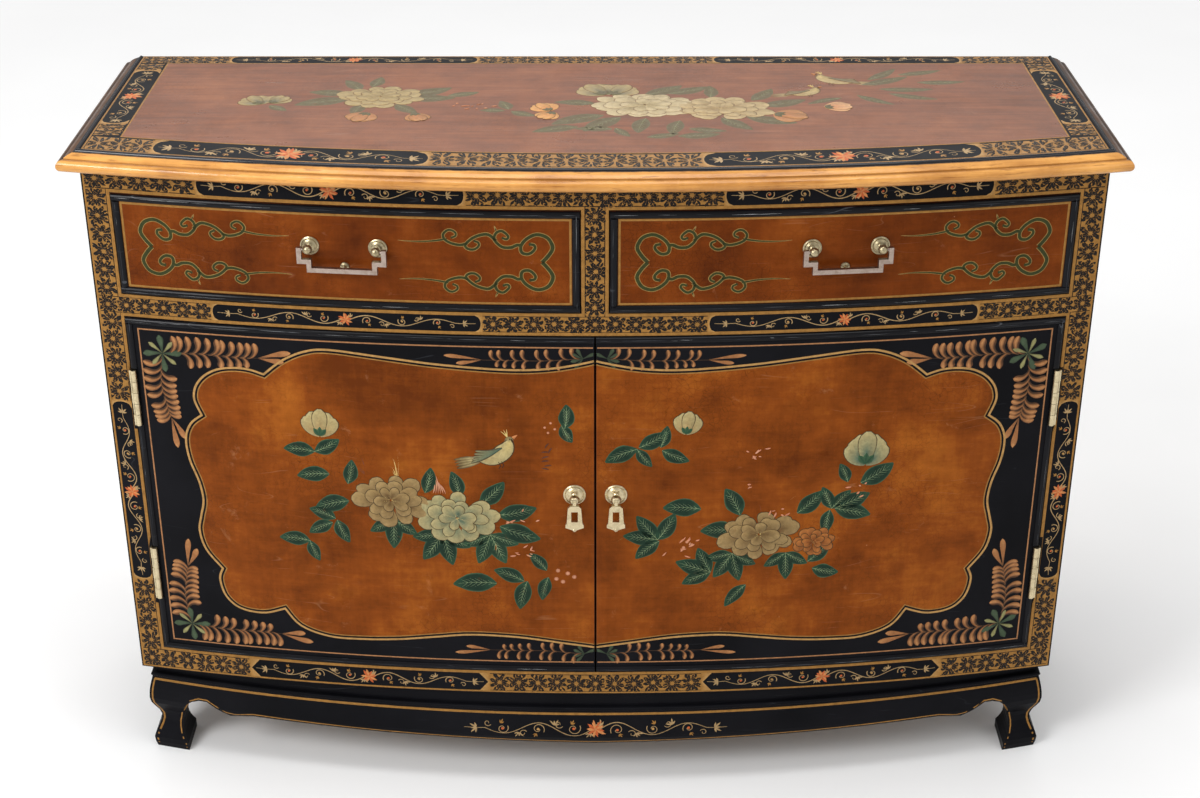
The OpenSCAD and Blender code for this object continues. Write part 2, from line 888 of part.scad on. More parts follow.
// Pull: an eye on the post's pin, a neck, and a tapered pendant with a square opening
module pull() {
  translate([pull_x, pull_face_y - 0.02 - pull_out, pull_z]) {
    difference() {
      union() {
        rotate([0, 90, 0]) cylinder(r = 3, h = pull_t, center = true);
        translate([-pull_t / 2, -1.5, -12]) cube([pull_t, 3, 12]);
      }
      rotate([0, 90, 0]) cylinder(r = pull_pin_r + run_clear, h = pull_t + 2, center = true);
    }
    difference() {
      translate([0, 2, 0]) rotate([90, 0, 0]) linear_extrude(height = 4)
        polygon([[-5, -8], [-8, -11], [-9.5, -32], [-11, -34], [-11, -38], [-3, -41], [3, -41],
                 [11, -38], [11, -34], [9.5, -32], [8, -11], [5, -8]]);
      translate([-4, -5, -30]) cube([8, 10, 14]);
    }
    translate([0, 0, -41.5]) sphere(r = 2.8);
  }
}

module door_left_panel() {
  color(rust) mirror([1, 0, 0]) door_panel();
}

module door_right_panel() {
  color(rust) door_panel();
}

module door_left_bead() {
  color(black) mirror([1, 0, 0]) door_bead();
}

module door_right_bead() {
  color(black) door_bead();
}

module door_left_hinge_leaves() {
  color(brass) mirror([1, 0, 0]) door_hinge_leaves();
}

module door_right_hinge_leaves() {
  color(brass) door_hinge_leaves();
}

module door_left_catch_plate() {
  color(nickel) mirror([1, 0, 0]) catch_plate();
}

module door_right_catch_plate() {
  color(nickel) catch_plate();
}

module door_left_pull_post() {
  color(nickel) mirror([1, 0, 0]) pull_post();
}

module door_right_pull_post() {
  color(nickel) pull_post();
}

module door_left_pull() {
  color(nickel) mirror([1, 0, 0]) pull();
}

module door_right_pull() {
  color(nickel) pull();
}

// Draw the chosen sub-parts
top_panel();
top_edge_front();
top_edge_sides();
top_edge_back();
side_panel_left();
side_panel_right();
back_panel();
bottom_panel();
dust_board();
drawer_partition();
drawer_guides();
drawer_kickers();
shelf();
shelf_pins();
stile_left();
stile_right();
rail_top();
rail_middle();
rail_bottom();
muntin();
door_catches();
hinge_leaves_case();
hinge_pins();
back_screws();
waist_frame();
apron_front();
apron_sides();
apron_back();
foot_front_left();
foot_front_right();
foot_back_left();
foot_back_right();
corner_blocks();
drawer_left_front();
drawer_left_bead();
drawer_left_sides();
drawer_left_back();
drawer_left_bottom();
drawer_left_bail_posts();
drawer_left_bail();
drawer_right_front();
drawer_right_bead();
drawer_right_sides();
drawer_right_back();
drawer_right_bottom();
drawer_right_bail_posts();
drawer_right_bail();
door_left_panel();
door_left_bead();
door_left_hinge_leaves();
door_left_catch_plate();
door_left_pull_post();
door_left_pull();
door_right_panel();
door_right_bead();
door_right_hinge_leaves();
door_right_catch_plate();
door_right_pull_post();
door_right_pull();
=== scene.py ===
import json
import math
import random

import bpy
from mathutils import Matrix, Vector
from mathutils.bvhtree import BVHTree
from mathutils.geometry import delaunay_2d_cdt


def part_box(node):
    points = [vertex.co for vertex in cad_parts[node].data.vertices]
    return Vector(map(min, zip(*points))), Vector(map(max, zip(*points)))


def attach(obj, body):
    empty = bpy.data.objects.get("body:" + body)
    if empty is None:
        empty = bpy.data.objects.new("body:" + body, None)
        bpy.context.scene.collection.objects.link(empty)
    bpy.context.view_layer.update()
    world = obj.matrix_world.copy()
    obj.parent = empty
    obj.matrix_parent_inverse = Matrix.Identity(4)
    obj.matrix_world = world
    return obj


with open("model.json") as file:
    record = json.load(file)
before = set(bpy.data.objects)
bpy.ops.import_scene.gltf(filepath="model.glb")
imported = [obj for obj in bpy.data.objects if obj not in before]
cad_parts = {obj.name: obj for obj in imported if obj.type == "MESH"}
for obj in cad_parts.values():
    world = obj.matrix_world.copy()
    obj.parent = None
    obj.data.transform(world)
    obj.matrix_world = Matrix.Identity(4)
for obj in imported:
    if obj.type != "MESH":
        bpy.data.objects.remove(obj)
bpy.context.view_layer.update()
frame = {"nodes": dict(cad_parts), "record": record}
NODES = frame["nodes"]
MM = 0.001
TAU = math.tau

# The top board's bowed edge, as in the CAD: the y of the centre it is struck from, and its radius
BOW_CY = 2598.0
TOP_R = 2791.5

# Lifts of the paint above the surface, in millimetres. A stroke's rims are sunk, so no gap shows under them
SUNK = -0.04
COAT_LIFT = 0.08
OVER_COAT = 0.10
LAYER_STEP = 0.07

LINE = 4.4  # width of the gold lines round the drawers and doors
GLOW_FAR = 0.42  # how much the floor glows where the lamps don't reach

# Paint colours, as linear light
GOLD = (0.31, 0.152, 0.036)
GOLD_PALE = (0.42, 0.238, 0.082)
VINE = (0.37, 0.245, 0.115)
GOLD_DIM = (0.21, 0.098, 0.026)
COPPER_DARK = (0.055, 0.028, 0.014)
COPPER = (0.30, 0.125, 0.045)
COPPER_DIM = (0.115, 0.048, 0.020)
PEACH = (0.44, 0.205, 0.078)
CORAL = (0.46, 0.10, 0.028)
ORANGE = (0.52, 0.20, 0.065)
LEAF_DARK = (0.008, 0.026, 0.014)
LEAF = (0.017, 0.054, 0.028)
LEAF_PALE = (0.050, 0.105, 0.050)
VEIN = (0.24, 0.31, 0.16)
TEAL = (0.050, 0.105, 0.075)
CREAM = (0.40, 0.325, 0.150)
BEIGE = (0.32, 0.215, 0.088)
BEIGE_DARK = (0.10, 0.052, 0.016)
INK = (0.035, 0.018, 0.010)
CELL = (0.009, 0.0065, 0.005)
# Pale streaks on the bead crests: partly rubbed wear, partly a painted highlight
WEAR_AND_HIGHLIGHT = (0.040, 0.045, 0.055)
WEAR_AND_HIGHLIGHT_PALE = (0.30, 0.31, 0.31)
PINK = (0.60, 0.29, 0.17)
BRACKET_GREEN = (0.032, 0.038, 0.009)
BRACKET_LINE = (0.26, 0.16, 0.045)
BUTTER = (0.62, 0.47, 0.17)
INK_LINE = (0.055, 0.030, 0.010)
TRIM = (0.36, 0.17, 0.075)
STRAW = (0.42, 0.20, 0.08)
TWIG = (0.13, 0.085, 0.035)
BRANCH = (0.17, 0.13, 0.03)
BERRY_TWIG = (0.09, 0.035, 0.02)
RUSSET = (0.42, 0.16, 0.06)
AMBER = (0.55, 0.22, 0.06)
AMBER_PALE = (0.70, 0.36, 0.12)
UNDERCOAT = (0.3, 0.1, 0.02)
TOP_UNDERCOAT = (0.2, 0.08, 0.04)


# Curves on the flat ------------------------------------------------------------------------


def smooth(points, steps=6):
    """A Catmull-Rom curve through the points."""
    found = []
    ends = [points[0]] + list(points) + [points[-1]]
    for i in range(1, len(ends) - 2):
        a, b, c, d = ends[i - 1 : i + 3]
        for k in range(steps):
            t = k / steps
            found.append(tuple(
                0.5 * (2 * b[j] + (c[j] - a[j]) * t
                       + (2 * a[j] - 5 * b[j] + 4 * c[j] - d[j]) * t * t
                       + (3 * b[j] - a[j] - 3 * c[j] + d[j]) * t**3)
                for j in (0, 1)))
    found.append(tuple(points[-1]))
    return found


def spiral(cu, cv, r0, r1, a0, a1, steps=14):
    """A spiral round (cu, cv) from radius r0 at angle a0 to radius r1 at angle a1, in degrees."""
    found = []
    for k in range(steps + 1):
        t = k / steps
        a = math.radians(a0 + (a1 - a0) * t)
        r = r0 + (r1 - r0) * t
        found.append((cu + r * math.cos(a), cv + r * math.sin(a)))
    return found


def bend(u, v, angle, length, curl=0.0, steps=7):
    """A line from (u, v) that sets off at angle and turns by curl along its length, in degrees."""
    found = [(u, v)]
    for k in range(steps):
        a = math.radians(angle + curl * (k + 0.5) / steps)
        u += math.cos(a) * length / steps
        v += math.sin(a) * length / steps
        found.append((u, v))
    return found


def heading(p, q):
    """The angle from p to q, in degrees."""
    return math.degrees(math.atan2(q[1] - p[1], q[0] - p[0]))


def sides_of(line, closed=False):
    """The unit left-hand normal at each point, and the stretch that keeps the width at a corner."""
    found = []
    n = len(line)
    for i, p in enumerate(line):
        before = line[i - 1] if i or closed else p
        after = line[(i + 1) % n] if i < n - 1 or closed else p
        d0 = (p[0] - before[0], p[1] - before[1])
        d1 = (after[0] - p[0], after[1] - p[1])
        l0, l1 = math.hypot(*d0), math.hypot(*d1)
        if l0 < 1e-9:
            d0, l0 = d1, l1
        if l1 < 1e-9:
            d1, l1 = d0, l0
        du = d0[0] / l0 + d1[0] / l1
        dv = d0[1] / l0 + d1[1] / l1
        size = math.hypot(du, dv) or 1e-9
        stretch = min(2.0 / max(size, 1e-6), 1.6)
        found.append((-dv / size, du / size, stretch))
    return found


def offset(line, distance):
    return [(p[0] + nu * distance * s, p[1] + nv * distance * s)
            for p, (nu, nv, s) in zip(line, sides_of(line))]


def mix(a, b, t):
    return tuple(x + (y - x) * t for x, y in zip(a, b))


# Width along a stroke, t from 0 at its start to 1 at its tip


def pointed(w, thin=0.12, at=0.45):
    def width(t):
        k = t / at if t < at else (1 - t) / (1 - at)
        return w * (thin + (1 - thin) * math.sin(max(k, 0) * math.pi / 2) ** 0.9)

    return width


def comma(w):
    """Thin at the stem, full near the tip, with a round end."""

    def width(t):
        body = 0.14 + 0.86 * min(t / 0.72, 1) ** 1.3
        end = math.sqrt(max(1 - ((t - 0.76) / 0.24) ** 2, 0.03)) if t > 0.76 else 1
        return w * body * end

    return width


def petal_width(w):
    """Narrow at the heart, broad and blunt at the tip."""

    def width(t):
        body = 0.25 + 0.75 * math.sin(min(t / 0.62, 1) * math.pi / 2)
        end = math.sqrt(max(1 - ((t - 0.66) / 0.34) ** 2, 0.06)) if t > 0.66 else 1
        return w * body * end

    return width


def tail(w, thin=0.1):
    return lambda t: w * (thin + (1 - thin) * (1 - t) ** 0.8)


def shade(*stops):
    """A colour that runs through the stops along a stroke."""

    def tint(t):
        x = min(max(t, 0), 1) * (len(stops) - 1)
        i = min(int(x), len(stops) - 2)
        return mix(stops[i], stops[i + 1], x - i)

    return tint


# Painting on the CAD surfaces --------------------------------------------------------------


class Canvas:
    """A painted face. Flat design places, in millimetres, are carried onto the CAD along one direction."""

    # Where to try again, in millimetres, when a place misses the CAD
    NUDGES = [(0, 0)] + [(du, dv) for d in (0.5, 2, 4, 8, 16) for du in (0, d, -d) for dv in (0, d, -d)]

    def __init__(self, names, view):
        verts, faces = [], []
        for name in names:
            base = len(verts)
            mesh = NODES[name].data
            verts += [v.co.copy() for v in mesh.vertices]
            faces += [[base + i for i in p.vertices] for p in mesh.polygons]
        self.tree = BVHTree.FromPolygons(verts, faces)
        starts = {
            "front": ((0, -1, 0), (1, 0, 0), (0, 0, 1)),
            "top": ((0, 0, 2), (1, 0, 0), (0, 1, 0)),
            "left": ((-1, 0, 0), (0, 1, 0), (0, 0, 1)),
            "right": ((1, 0, 0), (0, 1, 0), (0, 0, 1)),
        }
        self.start, self.along, self.up = (Vector(x) for x in starts[view])
        self.inward = -self.start.normalized()

    def hit(self, u, v):
        start = self.start + self.along * u * MM + self.up * v * MM
        return self.tree.ray_cast(start, self.inward)[:2]

    def met(self, u, v):
        return self.hit(u, v)[0] is not None

    def cast(self, u, v):
        for du, dv in self.NUDGES:
            hit, normal = self.hit(u + du, v + dv)
            if hit is not None:
                # A small miss is a joint between two parts; a big one is past the edge, and stays on it
                back = 1 if max(abs(du), abs(dv)) < 1 else 0
                return hit - (self.along * du + self.up * dv) * MM * back, normal
        return None, None

    def point(self, u, v, lift):
        hit, normal = self.cast(u, v)
        if hit is None:
            raise ValueError(f"paint at ({u:.1f}, {v:.1f}) is off its surface")
        if normal.dot(self.inward) > 0:
            normal = -normal
        return hit + normal * lift * MM


class Paint:
    """Raised paint on one body: strokes gathered into one mesh, with a colour at each vertex."""

    def __init__(self, name, canvas, body, material, slot=None):
        self.name, self.canvas, self.body = name, canvas, body
        self.material, self.slot = material, slot
        self.co, self.flat, self.tints, self.faces = [], [], [], []

    def vertex(self, u, v, lift, tint):
        self.co.append(self.canvas.point(u, v, lift))
        self.flat.append((u, v))
        self.tints.append(tint)
        return len(self.co) - 1

    def build(self):
        if not self.faces:
            return
        mesh = bpy.data.meshes.new(self.name)
        mesh.from_pydata(self.co, [], self.faces)
        mesh.shade_smooth()
        lo = [min(p[k] for p in self.flat) for k in (0, 1)]
        size = [max(p[k] for p in self.flat) - lo[k] for k in (0, 1)]
        layer = mesh.uv_layers.new(name="OFBake")
        for loop, spot in zip(mesh.loops, layer.data):
            p = self.flat[loop.vertex_index]
            spot.uv = [0.01 + 0.98 * (p[k] - lo[k]) / size[k] for k in (0, 1)]
        colour = mesh.color_attributes.new("Paint", "FLOAT_COLOR", "POINT")
        for i, tint in enumerate(self.tints):
            colour.data[i].color = (*tint, 1.0)
        mesh.validate()
        piece = bpy.data.objects.new(self.name, mesh)
        bpy.context.scene.collection.objects.link(piece)
        piece.data.materials.append(self.material)
        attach(piece, self.body)


def stroke(paint, line, width, tint, rim=None, base=0.0, height=0.12, form="ridge",
           closed=False, place=None):
    """A raised stroke along the line. tint colours its crown and rim its edges."""
    # Half of each cross-section: a place across the half width, and its lift, None for the crown
    half = {
        "ridge": (),
        "band": ((0.72, None),),
        "fat": ((0.9, base + height * 0.6), (0.45, None)),
        "leaf": ((0.95, base), (0.76, None)),
        "petal": ((0.95, base),),
    }[form]
    middle = ((0, None),) if form in ("ridge", "petal") else ()
    left = ((1, SUNK), *half)
    rows = [(-side, lift) for side, lift in left] + [*middle] + [*reversed(left)]
    n = len(line)
    last = first = None
    for i, ((u, v), (nu, nv, s)) in enumerate(zip(line, sides_of(line, closed))):
        t = i / max(n - 1, 1)
        w = (width(t) if callable(width) else width) / 2 * s
        crown = tint(t) if callable(tint) else tint
        edge = crown if rim is None else rim(t) if callable(rim) else rim
        ring = []
        for side, lift in rows:
            p = (u + nu * w * side, v + nv * w * side)
            if place:
                p = place(*p)
            if lift is None:
                ring.append(paint.vertex(*p, base + height, crown))
            else:
                ring.append(paint.vertex(*p, lift, edge))
        if last:
            for a, b, c, d in zip(last, last[1:], ring[1:], ring):
                paint.faces.append((a, b, c, d))
        first = first or ring
        last = ring
    if closed:
        for a, b, c, d in zip(last, last[1:], first[1:], first):
            paint.faces.append((a, b, c, d))


def dot(paint, u, v, r, tint, rim=None, base=0.0, height=0.2, sides=8, place=None):
    """A round dab of paint."""
    put = place or (lambda a, b: (a, b))
    top = paint.vertex(*put(u, v), base + height, tint)
    ring = []
    for k in range(sides):
        a = TAU * k / sides
        p = put(u + r * math.cos(a), v + r * math.sin(a))
        ring.append(paint.vertex(*p, SUNK, rim or tint))
    for k in range(sides):
        paint.faces.append((top, ring[k], ring[(k + 1) % sides]))


def field(paint, outline, tint, mesh_size=14.0):
    """A flat coat of paint inside an outline, cut finely enough to follow a curved face."""
    points = [Vector(p) for p in outline]
    n = len(points)
    us = [p[0] for p in outline]
    vs = [p[1] for p in outline]
    u = min(us) + mesh_size / 2
    while u < max(us):
        v = min(vs) + mesh_size / 2
        while v < max(vs):
            if inside(u, v, outline):
                points.append(Vector((u, v)))
            v += mesh_size
        u += mesh_size
    edges = [(i, (i + 1) % n) for i in range(n)]
    verts, _, faces, _, _, _ = delaunay_2d_cdt(points, edges, [list(range(n))], 1, 1e-6)
    made = [paint.vertex(p[0], p[1], COAT_LIFT, tint) for p in verts]
    paint.faces += [tuple(made[i] for i in face) for face in faces]


def inside(u, v, outline):
    found = False
    j = len(outline) - 1
    for i, (ui, vi) in enumerate(outline):
        uj, vj = outline[j]
        if (vi > v) != (vj > v) and u < (uj - ui) * (v - vi) / (vj - vi) + ui:
            found = not found
        j = i
    return found


# Borders: star flowers, scrolls and gold lines ---------------------------------------------


def star(gold, cells, place, s, t, along, across, rng):
    """The black cells that leave a gold star flower, its rays and the twigs round it."""
    spin = rng.uniform(-8, 8)

    def to_edge(a):
        return min(along / max(abs(math.cos(a)), 1e-6), across / max(abs(math.sin(a)), 1e-6))

    def cell(turn, near, far, width, curl=0.0, lit=False):
        a = math.radians(spin + turn + rng.uniform(-5, 5))
        reach = to_edge(a)
        start = max(reach * near, 2.4)
        length = max(reach * far * rng.uniform(0.94, 1.04) - start, 1.5)
        line = bend(s + start * math.cos(a), t + start * math.sin(a), math.degrees(a), length,
                    curl + rng.uniform(-18, 18), 3)
        stroke(cells, line, pointed(width * rng.uniform(0.85, 1.15), 0.15, 0.55), CELL,
               base=OVER_COAT, height=0.03, form="petal", place=place)
        if lit:
            stroke(gold, [mix(p, q, 0.3) for p, q in zip(line, line[1:])], pointed(1.3, 0.3), GOLD_DIM,
                   base=0.15, height=0.06, place=place)

    for k in range(8):
        cell(45 * k + 22.5, 0.18, 0.70, 5.6, 0, True)
        for side in (-1, 1):
            cell(45 * k + side * 10, 0.46, 0.95, 3.3, side * 24)
        cell(45 * k + 22.5, 0.76, 1.0, 3.6)
    for k in range(14):
        a = math.radians(spin + 25.7 * k + rng.uniform(-9, 9))
        r = rng.uniform(0.42, 0.88) * to_edge(a)
        line = bend(s + r * math.cos(a), t + r * math.sin(a), math.degrees(a) + rng.choice((-70, 70)),
                    rng.uniform(3.5, 6.0), rng.uniform(-90, 90), 3)
        stroke(gold, [(p, max(-across, min(across, q))) for p, q in line], tail(1.2, 0.5), GOLD, base=0.15,
               height=0.06, place=place)


def diaper(gold, cells, place, s0, s1, width, rng, pitch):
    """A run of the star-flower ground: a gold coat cut up by small black cells."""
    count = max(1, round((s1 - s0) / pitch))
    step = (s1 - s0) / count
    steps = max(2, round((s1 - s0) / 10))
    coat = [(s0 + (s1 - s0) * k / steps, 0) for k in range(steps + 1)]
    stroke(gold, coat, width, GOLD, height=COAT_LIFT, form="band", place=place)
    for i in range(count):
        star(gold, cells, place, s0 + step * (i + 0.5), rng.uniform(-0.05, 0.05) * width, step * 0.5,
             width * 0.5, rng)


def end_cap(paint, place, s, facing, width, pointed_end):
    """The solid gold end between a star-flower run and a black panel with a rounded or pointed end."""
    steps = 8
    depth = width * (0.42 if pointed_end else 0.34)
    last = None
    for k in range(steps + 1):
        x = 2 * k / steps - 1
        far = 2.2 + depth * (abs(x) if pointed_end else 1 - math.sqrt(max(1 - x * x, 0)))
        pair = [
            paint.vertex(*place(s, x * width / 2), OVER_COAT, GOLD),
            paint.vertex(*place(s + facing * far, x * width / 2), OVER_COAT, GOLD_PALE),
        ]
        if last:
            paint.faces.append((last[0], last[1], pair[1], pair[0]))
        last = pair


def blossom(paint, place, s, t, r, rng):
    """A small many-petalled blossom at the middle of a scroll."""
    for k in range(10):
        a = 36 * k + rng.uniform(-8, 8)
        stroke(paint, bend(s, t, a, r * rng.uniform(0.8, 1.1), rng.uniform(-25, 25), 3),
               pointed(r * 0.42), ORANGE if k % 2 else CORAL, height=0.2, place=place)
    dot(paint, s, t, r * 0.24, PEACH, place=place, height=0.3)


def leaflets(paint, place, s, t, angle, size, tint, count):
    """A little fan of leaves."""
    for k in range(count):
        a = angle + (k - (count - 1) / 2) * 38
        stroke(paint, bend(s, t, a, size * (1 if k % 2 else 0.75), 14, 3), pointed(size * 0.36),
               tint, place=place)


def scroll(gold, bright, place, centre, half, width, rng, waves):
    """A vine that runs both ways from a blossom, in alternating waves with a curl under each."""
    amp = width * 0.31
    wave = (half * 0.80 - 5) / waves
    for side in (-1, 1):
        def height_at(x):
            return side * amp * math.sin(math.pi * x / wave) * (1.0 - 0.12 * x / wave)

        line = [(centre + side * (5 + x), height_at(x))
                for x in [waves * wave * k / 40 for k in range(41)]]
        turn_back = (line[-1][0] + side * half * 0.06, -side * height_at(waves * wave - 4) * 0.3)
        line += smooth([line[-1], turn_back, (centre + side * half * 0.95, 0)], 4)[1:]
        stroke(gold, line, tail(1.6, 0.5), VINE, place=place)
        for k in range(waves):
            x = wave * (k + 0.5)
            up = 1 if height_at(x) > 0 else -1
            r = width * (0.27 - 0.02 * k)
            s = centre + side * (5 + x)
            cv = up * (amp * 0.78 - r) * 0.9
            turn = -up * side
            start = 90 - side * 90 + turn * 20
            curl = spiral(s, cv, r, r * 0.25, start + turn * 130, start + turn * 520, 18)
            stroke(gold, curl, tail(1.4, 0.6), VINE, place=place)
            heart = bright if k % 2 == 0 else gold
            dot(heart, s, cv, width * 0.07, CORAL if k % 2 == 0 else GOLD_PALE, place=place)
            leaflets(gold, place, s + side * r * 0.3, -up * width * 0.20, -90 * up + side * 30,
                     width * 0.20, GOLD, 3)
            leaflets(gold, place, s - side * wave * 0.46, up * width * 0.16, 90 * up + side * 20,
                     width * 0.26, VINE, 4)
            small = spiral(s + side * wave * 0.42, -up * width * 0.20, r * 0.62, r * 0.15,
                           90 * up - turn * 60, 90 * up + turn * 300, 12)
            stroke(gold, small, tail(1.3, 0.5), VINE, place=place)
        leaflets(gold, place, *line[-5], 90 - side * 90, width * 0.30, VINE, 5)
    blossom(bright, place, centre, 0, width * 0.40, rng)


def gold_line(paint, points, width, steps=None, closed=False, tint=GOLD):
    """A straight-sided gold line, cut finely enough to follow the bow."""
    line = []
    ends = list(points) + ([points[0]] if closed else [])
    for (u0, v0), (u1, v1) in zip(ends, ends[1:]):
        count = steps or max(1, round(math.hypot(u1 - u0, v1 - v0) / 14))
        line += [(u0 + (u1 - u0) * k / count, v0 + (v1 - v0) * k / count) for k in range(count)]
    if not closed:
        line.append(ends[-1])
    stroke(paint, line, width, tint, rim=GOLD_DIM, height=0.14, form="band", closed=closed)


def rectangle(u0, u1, v0, v1):
    return [(u0, v0), (u1, v0), (u1, v1), (u0, v1)]


# Flowers, leaves and birds -----------------------------------------------------------------


class Garden:
    """The layers of one painted scene. Later layers lie over earlier ones."""

    LAYERS = ("stems", "leaves", "veins", "ink_low", "petals_low", "ink_mid", "petals_mid", "ink_high",
              "petals_high", "details")

    def __init__(self, name, canvas, body, material):
        self.layers = {
            layer: Paint(f"{name}_{layer}", canvas, body, material)
            for layer in self.LAYERS
        }
        self.base = {layer: LAYER_STEP * k for k, layer in enumerate(self.LAYERS)}

    def draw(self, layer, line, width, tint, **more):
        stroke(self.layers[layer], line, width, tint, base=self.base[layer],
               height=more.pop("height", 0.06), form=more.pop("form", "petal"), **more)

    def dab(self, layer, u, v, r, tint, **more):
        dot(self.layers[layer], u, v, r, tint, base=self.base[layer], height=0.12, **more)

    def build(self):
        for paint in self.layers.values():
            paint.build()


def leaf(g, u, v, angle, length, fat, curl=18, tone=0.0):
    """A pointed leaf from its foot at (u, v), with a pale rim, a midrib and side veins."""
    line = bend(u, v, angle, length, curl, 9)
    dark = mix(LEAF_DARK, LEAF_PALE, tone)
    pale = mix(LEAF, LEAF_PALE, tone + 0.15)
    g.draw("leaves", line, pointed(length * fat * 1.12, 0.10, 0.42), shade(pale, dark, dark, pale),
           rim=LEAF_PALE, form="leaf")
    g.draw("veins", line[:-1], tail(1.5, 0.4), VEIN, form="ridge")
    for k in range(1, 7):
        a = heading(line[k], line[k + 1])
        reach = length * fat * 0.40 * pointed(1, 0.2, 0.42)(k / 9)
        for side in (-1, 1):
            g.draw("veins", bend(*line[k], a + side * 42, reach, -side * 16, 3), tail(1.15, 0.4),
                   VEIN, form="ridge")


def leaves(g, spots, fat=0.52, tone=0.0):
    for u, v, angle, length in spots:
        leaf(g, u, v, angle, length, fat, tone=tone)


def leaf_fan(g, u, v, angle, length, count, spread, tone=0.0):
    """Lobes of a peony leaf that share a foot."""
    for k in range(count):
        turn = k - (count - 1) / 2
        leaf(g, u, v, angle + turn * spread, length * (1 - 0.16 * abs(turn)), 0.50, turn * 10, tone)


def petal(g, layer, u, v, angle, length, width, heart, tip, curl):
    """A petal over its own ink outline."""
    line = bend(u, v, angle, length, curl, 8)
    ink = bend(u, v, angle, length + 0.8, curl, 8)
    g.draw("ink_" + layer, ink, petal_width(width + 1.5), INK_LINE)
    g.draw("petals_" + layer, line, petal_width(width), shade(heart, heart, mix(heart, tip, 0.6), tip),
           rim=shade(mix(heart, tip, 0.5), tip))


def peony(g, u, v, ru, rv, heart, tip, rng, outer, inner):
    """A full flower from the front: three loose rings of folded petals, and a crown of stamens."""
    size = (ru + rv) / 2

    def ring(layer, count, near, far, broad, spin):
        for k in range(count):
            a = TAU * (k + rng.uniform(-0.22, 0.22)) / count + spin
            foot = (u + ru * near * math.cos(a), v + rv * near * math.sin(a))
            end = (u + ru * far * math.cos(a), v + rv * far * math.sin(a))
            reach = math.hypot(end[0] - foot[0], end[1] - foot[1]) * rng.uniform(0.84, 1.10)
            angle = heading(foot, end) + rng.uniform(-9, 9)
            petal(g, layer, *foot, angle, reach, size * broad * rng.uniform(0.8, 1.15),
                  mix(heart, tip, rng.uniform(0, 0.3)), mix(heart, tip, rng.uniform(0.85, 1.0)),
                  rng.uniform(-22, 22))
            above = {"low": "ink_mid", "mid": "ink_high", "high": "details"}[layer]
            for fold in (-1, 1):
                g.draw(above, bend(*foot, angle + fold * 11, reach * rng.uniform(0.55, 0.75), fold * 12, 4),
                       tail(0.9, 0.3), mix(heart, INK_LINE, 0.6), form="ridge")

    ring("low", outer, 0.34, 1.0, 0.50, 0.2)
    ring("mid", outer - 2, 0.18, 0.76, 0.42, 0.55)
    ring("high", inner - 1, 0.04, 0.50, 0.34, 0.3)
    for k in range(11):
        a = rng.uniform(0, TAU)
        d = rng.uniform(0.02, 0.20)
        g.dab("details", u + ru * d * math.cos(a), v + rv * d * 0.8 * math.sin(a),
              size * 0.042, BUTTER, rim=mix(tip, INK_LINE, 0.4), sides=6)


def bud(g, u, v, size, angle, heart, tip, count, open_by):
    """A half-open flower on a green cup."""
    for k in sorted(range(count), key=lambda k: abs(k - (count - 1) / 2), reverse=True):
        turn = k - (count - 1) / 2
        layer = "low" if abs(turn) > 0.6 else "high"
        petal(g, layer, u, v, angle + turn * open_by, size * (1 - 0.07 * abs(turn)), size * 0.52,
              heart, tip, -turn * 20)
    for k in (-1, 0, 1):
        a = angle + k * 38
        g.draw("details", bend(u, v, a, size * 0.34, 0, 4), pointed(size * 0.2), LEAF, rim=LEAF_PALE)


def twig(g, points, width=1.4, tint=TWIG):
    g.draw("stems", smooth(points, 4), tail(width, 0.35), tint, form="ridge")


def tuft(g, rng, count, foot, step, angle, turn, reach, curl, steps, width, tint, layer="stems"):
    """Narrow petals in a row of count: foot moves by step and angle by turn from one to the next."""
    for k in range(count):
        g.draw(layer, bend(foot[0] + step[0] * k, foot[1] + step[1] * k, angle + turn * k,
                           rng.uniform(*reach), curl, steps), pointed(width), tint)


def berries(g, spots, r):
    for u, v in spots:
        g.dab("details", u, v, r, PINK, rim=(0.35, 0.12, 0.05), sides=7)


def flecks(g, u, v, size, rng, count):
    """Loose coral dabs, such as fallen petals."""
    for _ in range(count):
        du, dv = rng.uniform(-size, size), rng.uniform(-size, size) * 0.5
        g.draw("details", bend(u + du, v + dv, rng.uniform(-40, 60), rng.uniform(3, 8), 20, 3),
               pointed(rng.uniform(1.0, 2.4)), mix(PINK, CORAL, rng.random() * 0.5))


